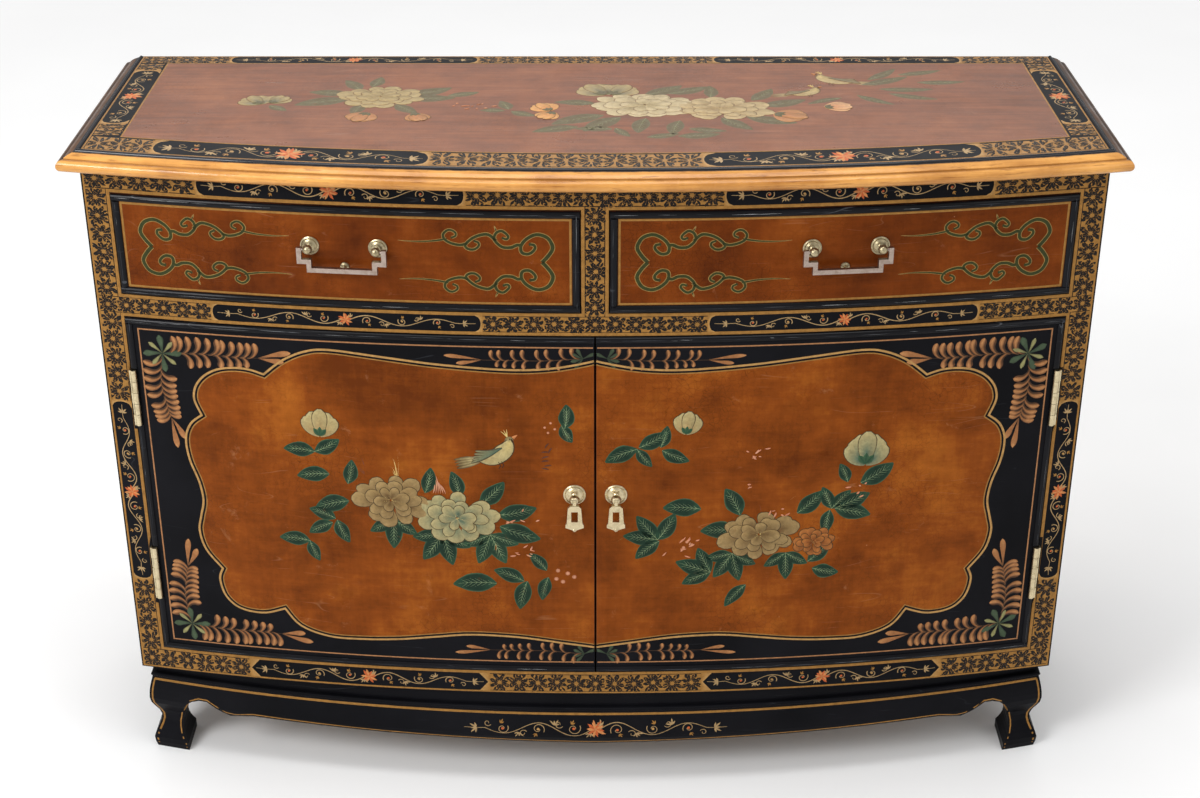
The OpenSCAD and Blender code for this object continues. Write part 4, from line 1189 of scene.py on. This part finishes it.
def left_door_garden(g):
    """Peonies with a bird over them, a tall bud, and twigs that hang in from the middle."""
    rng = random.Random(5)
    twig(g, [(-333, 492), (-334, 478), (-326, 462), (-322, 440)], 1.6)
    twig(g, [(-320, 385), (-345, 378), (-372, 362)], 1.5)
    twig(g, [(-137, 305), (-105, 305), (-75, 312), (-48, 310)], 1.2, STRAW)
    bud(g, -330, 500, 36, 88, BEIGE, CREAM, 5, 27)
    leaves(g, (
        (-338, 478, 168, 38), (-338, 478, 22, 36), (-322, 448, 178, 40), (-300, 436, 70, 34),
        (-300, 412, 188, 44), (-352, 352, 168, 38), (-352, 352, -78, 30), (-318, 386, 150, 34),
        (-316, 384, -75, 34), (-322, 380, 200, 34)))
    for fan in ((-246, 390, -92, 42, 3, 50), (-186, 372, -100, 50, 4, 42),
                (-128, 372, -88, 48, 4, 40, 0.12)):
        leaf_fan(g, *fan)
    leaves(g, (
        (-206, 428, 68, 36), (-164, 424, 96, 36), (-140, 414, 38, 44), (-118, 400, 4, 48),
        (-116, 384, -28, 52), (-122, 302, 174, 54), (-88, 306, 148, 40), (-84, 306, -112, 42),
        (-60, 322, 122, 32), (-58, 312, -112, 34)), 0.5)
    for k in range(9):
        g.draw("stems", bend(-270, 444, 35 + 14 * k, rng.uniform(22, 40), rng.uniform(-30, 30), 5),
               pointed(3.2), (0.10, 0.045, 0.04))
    tuft(g, rng, 5, (-240, 446), (0, 0), 60, 12, (18, 32), 25, 4, 2.6, BUTTER)
    for u, v, a, size in ((-120, 420, 62, 40), (-112, 410, 35, 46), (-104, 402, 10, 40)):
        a, b = math.radians(a), math.radians(a + 12)
        twig(g, [(u, v), (u + size * 0.5 * math.cos(a), v + size * 0.6 * math.sin(a)),
                 (u + size * math.cos(b), v + size * math.sin(b))], 1.3, (0.10, 0.04, 0.03))
    peony(g, -248, 416, 46, 36, BEIGE_DARK, BEIGE, rng, 10, 7)
    peony(g, -168, 394, 50, 36, TEAL, CREAM, rng, 10, 7)
    tuft(g, rng, 6, (-196, 428), (3, 0), 70, 7, (12, 24), 20, 3, 1.4, PINK, "details")
    songbird(g, -120, 484, 50)
    leaves(g, ((-36, 520, 78, 32), (-40, 524, -70, 26)), 0.6)
    twig(g, [(-36, 526), (-50, 512), (-48, 485), (-58, 462)], 1.6, BERRY_TWIG)
    twig(g, [(-48, 500), (-58, 492), (-66, 478)], 1.1, BERRY_TWIG)
    for k in range(7):
        g.draw("details", bend(-52 + rng.uniform(-4, 5), 500 - 6 * k, rng.uniform(150, 230), 9, 30, 3),
               pointed(1.8), BERRY_TWIG)
    berries(g, [(-53, 527), (-60, 521), (-48, 519), (-56, 514)], 2.0)
    berries(g, [(-46, 322), (-34, 318), (-26, 313), (-40, 306), (-48, 310)], 3.4)
    flecks(g, -95, 400, 24, rng, 7)
    flecks(g, -90, 348, 16, rng, 8)


def right_door_garden(g):
    """A pale peony with a russet one beside it, a large bud near the side and a small one above."""
    rng = random.Random(8)
    twig(g, [(102, 508), (92, 500), (78, 490), (50, 494)], 1.5)
    bud(g, 108, 512, 30, 82, BEIGE, CREAM, 5, 24)
    leaves(g, ((52, 494, 22, 40), (50, 492, 196, 42), (50, 492, -62, 30), (78, 494, 66, 30),
               (80, 490, -34, 36)), 0.5)
    bud(g, 326, 462, 44, 88, TEAL, CREAM, 7, 22)
    leaves(g, ((306, 438, 104, 28), (322, 436, 24, 46), (172, 376, 170, 44), (176, 398, 108, 42),
               (128, 408, 168, 46), (246, 398, 36, 42)), 0.54)
    leaf_fan(g, 288, 402, 80, 36, 2, 60)
    leaf_fan(g, 292, 402, 5, 50, 2, 34)
    leaves(g, ((286, 400, -105, 34),), 0.5)
    leaf_fan(g, 76, 366, 150, 46, 2, 40)
    leaves(g, ((76, 366, 52, 42), (78, 364, 212, 38)), 0.5)
    for fan in ((168, 344, -100, 44, 4, 42), (234, 342, -88, 38, 3, 52), (142, 318, 160, 46, 3, 40)):
        leaf_fan(g, *fan)
    for u, v, a, size, fat in ((262, 328, 38, 38, 0.5), (268, 318, -22, 34, 0.56),
                               (186, 298, 222, 40, 0.42)):
        leaf(g, u, v, a, size, fat)
    for points, width, tint in (
        ([(146, 316), (150, 296), (144, 262), (152, 232)], 3.4, (0.16, 0.12, 0.03)),
        ([(146, 300), (160, 275), (170, 240)], 2.0, (0.17, 0.11, 0.03)),
        ([(4, 322), (16, 352), (38, 372), (62, 380)], 4.0, BRANCH),
        ([(3, 500), (12, 486), (16, 470)], 4.0, BRANCH),
        ([(76, 366), (110, 358), (140, 352)], 1.4, (0.30, 0.13, 0.05)),
        ([(214, 398), (240, 420), (262, 430), (285, 428)], 1.0, STRAW),
    ):
        twig(g, points, width, tint)
    for k in range(7):
        g.draw("stems", bend(204 + rng.uniform(-14, 14), 390, 60 + 10 * k, rng.uniform(18, 28), 20, 4),
               pointed(3.4), mix(COPPER_DARK, CORAL, rng.random() * 0.6))
    peony(g, 268, 356, 28, 20, (0.14, 0.035, 0.006), (0.36, 0.13, 0.03), rng, 9, 6)
    tuft(g, rng, 8, (256, 372), (3, 0), 30, 16, (10, 20), 20, 3, 3.2, (0.07, 0.03, 0.03))
    peony(g, 200, 370, 50, 33, BEIGE_DARK, BEIGE, rng, 10, 7)
    for u, v, size, count in ((112, 362, 12, 8), (96, 350, 22, 6), (192, 482, 14, 9), (178, 437, 8, 3),
                              (318, 424, 20, 5), (222, 400, 16, 6)):
        flecks(g, u, v, size, rng, count)
    berries(g, [(112, 362), (118, 358), (108, 354)], 2.6)


def doors():
    for side, name, garden in ((-1, "door_left", left_door_garden), (1, "door_right", right_door_garden)):
        canvas = Canvas([f"{name}_panel"], "front")
        door_frame(side, canvas, name, name)
        g = Garden(f"{name}_flowers", canvas, name, FLOWER_PAINT)
        garden(g)
        g.build()


# Drawers -----------------------------------------------------------------------------------

# One strand of the cloud bracket, from its cusp: a big C, then hooks and a long tail
BRACKET = (
    ([(0, 0), (-7, 8), (-12, 17), (-10, 25), (-5, 31), (4, 34), (12, 32), (20, 26), (24, 19), (23, 12),
      (17, 10), (12, 12), (8, 17), (9, 21), (13, 22)], 5.2),
    ([(23, 20), (28, 21), (35, 18), (44, 18), (50, 22), (54, 28), (52, 35), (46, 38), (41, 35), (38, 31),
      (40, 28), (44, 29)], 4.4),
    ([(52, 26), (60, 33), (68, 33), (78, 29), (86, 22), (87, 18), (83, 15), (77, 15), (72, 19), (72, 23),
      (76, 25)], 4.2),
    ([(85, 22), (93, 20), (103, 22), (110, 26), (112, 32), (108, 37), (103, 38), (98, 35), (98, 31),
      (102, 29)], 3.8),
)


def bracket(low, high, cusp_u, cusp_v, face):
    """A pair of green cloud strands over their pale outlines, one above the cusp and one below."""
    for up in (-1, 1):
        def at(points):
            return [(cusp_u + face * u, cusp_v + up * v) for u, v in points]

        for points, width in BRACKET:
            line = smooth(at(points), 4)
            stroke(low, line, lambda t, w=width: w * (1 - 0.3 * t) + 1.3, BRACKET_LINE,
                   height=0.10, form="band")
            stroke(high, line, lambda t, w=width: w * (1 - 0.3 * t), BRACKET_GREEN,
                   rim=(0.010, 0.014, 0.004), base=0.10, height=0.10, form="band")
            dot(high, *line[-1], width * 0.52, BRACKET_GREEN, base=0.12, height=0.08)
        end = smooth(at([(108, 27), (126, 24), (146, 23), (164, 24)]), 5)
        stroke(low, end, tail(5.0, 0.12), BRACKET_LINE, height=0.10)
        stroke(high, end[:-2], tail(3.4, 0.12), BRACKET_GREEN, base=0.10, height=0.10)
        spike = [(cusp_u + face * (51 + k), cusp_v + up * (37 + 2.4 * k)) for k in range(4)]
        stroke(low, spike, pointed(3.6), BRACKET_LINE, height=0.10)
        stroke(high, spike[:-1], pointed(2.4), BRACKET_GREEN, base=0.10, height=0.08)


def drawers():
    for name in ("drawer_left", "drawer_right"):
        (u0, u1), _, (z0, z1) = span(f"{name}_front")
        canvas = Canvas([f"{name}_front"], "front")
        coat = Paint(f"{name}_gold_line", canvas, name, GILT)
        bead = 9 + 1.7  # the bead's width, and the lacquer beside it
        gold_line(coat, rectangle(u0 + bead, u1 - bead, z0 + bead, z1 - bead), 3.0, closed=True)
        coat.build()
        low = Paint(f"{name}_bracket_lines", canvas, name, GREEN_PAINT)
        high = Paint(f"{name}_brackets", canvas, name, GREEN_PAINT)
        mid = (z0 + z1) / 2
        for face in (-1, 1):
            end = u0 if face > 0 else u1
            bracket(low, high, end + face * 43, mid, face)
        low.build()
        high.build()


def crest_wear_and_highlights():
    """Pale streaks and chips along the crests of the black beads: partly rubbed wear, partly a painted
    highlight where the crests catch the light.
    """
    rng = random.Random(51)
    for name, width in (("drawer_left", 9.0), ("drawer_right", 9.0), ("door_left", 8.0),
                        ("door_right", 8.0)):
        (u0, u1), _, (v0, v1) = span(f"{name}_bead")
        canvas = Canvas([f"{name}_bead"], "front")
        worn = Paint(f"{name}_crest_wear_and_highlight", canvas, name, WEAR_AND_HIGHLIGHT_PAINT, "black_lacquer")
        crest = width * 0.45
        sides = [((u0, v1 - crest), (u1, v1 - crest)), ((u0, v0 + crest), (u1, v0 + crest)),
                 ((u0 + crest, v0), (u0 + crest, v1)), ((u1 - crest, v0), (u1 - crest, v1))]
        if name.startswith("door"):
            sides.pop(3 if name == "door_left" else 2)
        for (a, b), (c, d) in sides:
            reach = math.hypot(c - a, d - b)
            at = crest + 1
            while at < reach - crest - 4:
                run_on = min(rng.uniform(4, 60), reach - crest - 1 - at)
                wander = rng.uniform(-0.9, 0.9)
                steps = max(2, round(run_on / 12))
                line = []
                for k in range(steps + 1):
                    t = (at + run_on * k / steps) / reach
                    shift = wander + rng.uniform(-0.15, 0.15)
                    line.append((a + (c - a) * t + (shift if c == a else 0),
                                 b + (d - b) * t + (shift if d == b else 0)))
                size, tint = rng.uniform(0.5, 1.3), mix(WEAR_AND_HIGHLIGHT, WEAR_AND_HIGHLIGHT_PALE, rng.random() ** 2)
                if all(canvas.met(*p) for p in line):
                    stroke(worn, line, pointed(size, 0.2), tint, height=0.05)
                at += run_on + rng.uniform(1, 30)
        worn.build()


# Top ---------------------------------------------------------------------------------------


def top_board():
    rng = random.Random(21)
    u1 = span("top_panel")[0][1]
    back = span("top_edge_back")[1][1]
    canvas = Canvas(["top_panel", "top_edge_back"], "top")
    side_w, front_w, back_w = 38.0, 48.0, 31.0

    def arc_y(x, inset):
        return BOW_CY - math.sqrt((TOP_R - inset) ** 2 - x * x)

    def framed(reach, front_inset, back_inset):
        """The top's outline, drawn in: bowed at the front, straight at the sides and back."""
        steps = 40
        xs = [-reach + 2 * reach * k / steps for k in range(steps + 1)]
        wall = back - back_inset
        return [(x, arc_y(x, front_inset)) for x in xs] + [(reach, wall), (-reach, wall)]

    outline = framed(u1 - side_w, front_w, back_w)
    coat = Paint("top_field", canvas, "case", RUST_TOP, "rust_lacquer")
    field(coat, outline, TOP_UNDERCOAT, 20.0)
    coat.build()

    bands = Bands("top", canvas, rng)
    stroke(bands.gold, outline, 2.4, GOLD, rim=GOLD_DIM, height=0.16, form="band", closed=True)
    edge = u1 - 2.0
    stroke(bands.gold, framed(edge, 2.0, 2.0), 2.2, GOLD, rim=GOLD_DIM, height=0.16, form="band",
           closed=True)

    gap = 2.4
    width = front_w - 2 * gap
    mid_inset = front_w / 2
    bands.border(lambda s, t: (s, arc_y(s, mid_inset + t)), (-(edge - 2), -505, -185, 120, 440, edge - 2),
                 width, pitch=28.0)
    bands.border(lambda s, t: (s, back - back_w / 2 + t), (-(edge - 2), -470, -150, 150, 470, edge - 2),
                 back_w - 5)
    for side in (-1, 1):
        bands.border(run(side * (u1 - side_w / 2), True),
                     (arc_y(u1, front_w) - 2, -45, 160, back - back_w - 2), side_w - 5, waves=2)
    bands.build()

    g = Garden("top_flowers", canvas, "case", REFLECTION_PALED_FLOWERS)
    top_garden(g, rng)
    g.build()


def top_garden(g, rng):
    """Two groups of peonies, with buds, long leaves and two birds, all paled by a painted reflection of the
    top's sheen.
    """
    pale = 0.35  # how much paler the leaves are, a painted reflection of the top's sheen
    bud(g, -404, 26, 34, 118, TEAL, CREAM, 5, 30)
    bud(g, -392, 30, 30, 60, TEAL, CREAM, 4, 28)
    leaves(g, ((-392, 22, -50, 30),), 0.5, pale)
    leaves(g, ((-300, 62, 160, 52), (-290, 80, 110, 44), (-276, 92, 70, 40), (-230, 60, 20, 60),
               (-228, 50, -8, 58), (-300, 44, 190, 66), (-280, 26, -110, 40), (-240, 26, -60, 44),
               (-180, 58, 12, 40)), 0.44, pale)
    peony(g, -262, 54, 54, 42, (0.26, 0.22, 0.10), CREAM, rng, 12, 9)
    tuft(g, rng, 6, (-300, 92), (8, 0), 80, 10, (20, 36), 20, 4, 3.4, (0.09, 0.06, 0.09))
    bud(g, -272, -6, 34, 250, RUSSET, PEACH, 5, 24)
    bud(g, -216, -8, 30, 290, RUSSET, PEACH, 4, 24)
    twig(g, [(-262, 10), (-250, -30), (-264, -66)])
    flecks(g, -150, 20, 26, rng, 12)
    leaves(g, ((-104, 6, 100, 34), (-100, 0, -40, 34), (-108, 2, 170, 30)), 0.5, pale)
    bud(g, -54, 2, 30, 120, AMBER, AMBER_PALE, 5, 26)
    bud(g, -50, -4, 28, 240, AMBER, AMBER_PALE, 4, 26)
    tuft(g, rng, 7, (-14, 10), (0, 2), 100, 12, (30, 56), -50, 6, 2.4, (0.42, 0.24, 0.12))
    bud(g, 12, 62, 44, 120, TEAL, CREAM, 5, 26)
    bud(g, 20, 62, 42, 60, TEAL, CREAM, 5, 26)
    leaves(g, (
        (60, 60, 30, 60), (40, 70, 130, 50), (90, 66, 20, 56), (0, 28, 165, 50), (10, -14, 200, 70),
        (30, -22, 220, 66), (60, -26, 250, 52), (100, -34, -110, 50), (150, -24, -60, 54),
        (180, -20, -30, 62), (200, 20, 14, 60), (190, 40, 50, 52), (140, 52, 80, 44),
        (-20, -56, 190, 56), (20, -64, 170, 44), (24, -60, -70, 34), (110, -62, -20, 44),
        (96, -88, 0, 50), (60, -92, 10, 40)), 0.40, pale)
    tuft(g, rng, 8, (110, 40), (0, 0), 50, 12, (26, 44), 20, 4, 3.0, (0.36, 0.24, 0.14))
    peony(g, 60, 22, 66, 44, (0.28, 0.25, 0.12), (0.58, 0.50, 0.30), rng, 13, 9)
    peony(g, 150, 10, 66, 40, (0.26, 0.20, 0.09), (0.52, 0.42, 0.22), rng, 13, 9)
    bud(g, 214, -10, 40, -20, RUSSET, PEACH, 5, 24)
    twig(g, [(210, 16), (250, 20), (280, 8), (310, -6)], 1.6, (0.50, 0.24, 0.12))
    bud(g, 276, 14, 34, 10, (0.50, 0.20, 0.08), (0.72, 0.42, 0.22), 4, 24)
    songbird(g, 300, 118, 52, -1)
    songbird(g, 256, 70, 44, 1)
    leaves(g, ((330, 100, 20, 70), (350, 84, -10, 66), (340, 120, 40, 60), (380, 140, 10, 60),
               (360, 66, -30, 60), (320, 60, -50, 54), (300, 50, 200, 50), (400, 110, -6, 60)), 0.26, pale)
    tuft(g, rng, 7, (330, 70), (0, 6), 24, -10, (80, 130), -16, 7, 3.0, (0.14, 0.17, 0.09))


# Base --------------------------------------------------------------------------------------


def lowest(canvas, u, high, floor):
    """The lowest height at which the canvas is met at u."""
    low = floor
    for _ in range(14):
        mid = (low + high) / 2
        if canvas.met(u, mid):
            high = mid
        else:
            low = mid
    return high


def narrowest(canvas, v, inside_u, outside_u):
    """The place nearest outside_u at which the canvas is still met at height v."""
    for _ in range(14):
        mid = (inside_u + outside_u) / 2
        if canvas.met(mid, v):
            inside_u = mid
        else:
            outside_u = mid
    return inside_u


def base_front():
    rng = random.Random(31)
    canvas = Canvas(["apron_front", "foot_front_left", "foot_front_right"], "front")
    gold = Paint("apron_gold_lines", canvas, "case", GILT)
    scrolls = Paint("apron_scrolls", canvas, "case", GILT)
    bright = Paint("apron_blossom", canvas, "case", BRIGHT)
    apron_top = span("apron_front")[2][1]
    half = span("foot_front_right")[0][1]
    inner = span("apron_front")[0][1]
    line_z = apron_top - 9.0

    def outer_line(z):
        return narrowest(canvas, z, inner + 14, half + 2) - 4.0

    for side in (-1, 1):
        heights = [6 + (line_z - 6) * k / 14 for k in range(15)]
        gold_line(gold, [(side * outer_line(z), z) for z in heights], 2.6, 1)
        lower = []
        for k in range(8):
            z = 4 + 52 * k / 7
            lower.append((side * (narrowest(canvas, z, half - 20, inner - 60) + 3.0), z))
        for k in range(1, 46):
            u = side * (inner - inner * k / 45)
            lower.append((u, lowest(canvas, u, apron_top - 6, 2) + 3.0))
        stroke(gold, lower, 1.9, GOLD, rim=GOLD_DIM, height=0.14, form="band")
    outer = outer_line(line_z)
    gold_line(gold, [(-outer, line_z), (outer, line_z)], 3.2)
    scroll(scrolls, bright, run(86), 0, 178, 34, rng, 3)
    for paint in (gold, scrolls, bright):
        paint.build()


# Sides -------------------------------------------------------------------------------------


def case_sides():
    rng = random.Random(41)
    for side in (-1, 1):
        view = "left" if side < 0 else "right"
        name = f"side_panel_{view}"
        canvas = Canvas([name], view)
        _, (y0, y1), (z0, z1) = span(name)
        bands = Bands(f"{view}_side", canvas, rng)
        inset, band = 7.0, 26.0
        a0, a1, b0, b1 = y0 + inset, y1 - inset, z0 + inset, z1 - inset
        gold_line(bands.gold, rectangle(a0, a1, b0, b1), 2.6, closed=True)
        gold_line(bands.gold, rectangle(a0 + band, a1 - band, b0 + band, b1 - band), 2.6, closed=True)
        mid = band / 2
        for v in (b0 + mid, b1 - mid):
            bands.border(run(v), (a0 + 2, a0 + 70, a1 - 70, a1 - 2), band - 3, waves=2)
        for u in (a0 + mid, a1 - mid):
            bands.border(run(u, True), (b0 + band, 340, 620, b1 - band), band - 3)
        coat = Paint(f"{view}_side_field", canvas, "case", RUST_DOOR, "rust_lacquer")
        edge = 20.0
        f0, f1, g0, g1 = a0 + band + edge, a1 - band - edge, b0 + band + edge, b1 - band - edge
        cut = 34.0
        outline = []
        for cu, cv, start in ((f1, g1, 180), (f0, g1, 270), (f0, g0, 0), (f1, g0, 90)):
            outline += spiral(cu, cv, cut, cut, start + 90, start, 8)
        field(coat, outline, UNDERCOAT, 40.0)
        coat.build()
        stroke(bands.gold, outline, 2.4, GOLD_PALE, rim=GOLD, height=0.2, form="band", closed=True)
        bands.build()
        g = Garden(f"{view}_side_flowers", canvas, "case", FLOWER_PAINT)
        mid_y = (y0 + y1) / 2
        twig(g, [(mid_y - 30, 300), (mid_y - 10, 380), (mid_y + 14, 450), (mid_y, 540),
                 (mid_y + 20, 610)], 2.4)
        for k in range(9):
            leaf(g, mid_y - 12 + 4 * k, 330 + 32 * k, 160 if k % 2 else 20, 44, 0.5)
        leaf_fan(g, mid_y, 420, -90, 48, 4, 44)
        peony(g, mid_y + 4, 470, 50, 44, BEIGE_DARK, BEIGE, rng, 10, 7)
        bud(g, mid_y + 20, 608, 38, 84, TEAL, CREAM, 6, 24)
        bud(g, mid_y - 34, 300, 32, 250, BEIGE, CREAM, 5, 24)
        g.build()


front_frame()
doors()
drawers()
crest_wear_and_highlights()
top_board()
base_front()
case_sides()


# Studio ------------------------------------------------------------------------------------


def studio():
    mesh = bpy.data.meshes.new("studio_floor")
    reach = 30.0
    mesh.from_pydata([(-reach, -reach, 0), (reach, -reach, 0), (reach, reach, 0), (-reach, reach, 0)], [],
                     [(0, 1, 2, 3)])
    floor = bpy.data.objects.new("studio_floor", mesh)
    floor.data.materials.append(pale_floor())
    bpy.context.scene.collection.objects.link(floor)

    world = bpy.data.worlds.new("studio")
    world.use_nodes = True
    sky = world.node_tree.nodes["Background"].inputs
    sky["Color"].default_value = (1.0, 1.0, 1.0, 1.0)
    sky["Strength"].default_value = 0.55
    bpy.context.scene.world = world

    def softbox(name, place, target, width, height, power):
        light = bpy.data.lights.new(name, "AREA")
        light.shape = "RECTANGLE"
        light.size, light.size_y, light.energy = width, height, power
        lamp = bpy.data.objects.new(name, light)
        lamp.location = place
        lamp.rotation_euler = (Vector(target) - Vector(place)).to_track_quat("-Z", "Y").to_euler()
        bpy.context.scene.collection.objects.link(lamp)

    softbox("light_left", (-2.1, -2.1, 2.4), (-0.1, 0, 0.5), 1.2, 1.2, 66)
    softbox("light_right", (2.2, -2.2, 2.4), (0, 0, 0.5), 1.1, 1.1, 8)
    softbox("light_top", (0.0, -0.4, 3.2), (0, 0, 0.6), 2.2, 1.2, 44)
    softbox("light_back", (0.0, 2.4, 2.6), (0, 0, 0.8), 3.0, 0.9, 26)


def camera():
    """The photo's view: a little above the top, tilted down."""
    data = bpy.data.cameras.new("camera")
    data.sensor_width = 36.0
    data.lens = 59.3
    eye = bpy.data.objects.new("camera", data)
    eye.location = (0.0057, -2.2593, 1.6182)
    tilt_down = 0.4727
    eye.rotation_euler = (math.pi / 2 - tilt_down, 0.0, 0.0)
    bpy.context.scene.collection.objects.link(eye)
    bpy.context.scene.camera = eye


studio()
camera()
bpy.context.scene.view_settings.view_transform = "Standard"
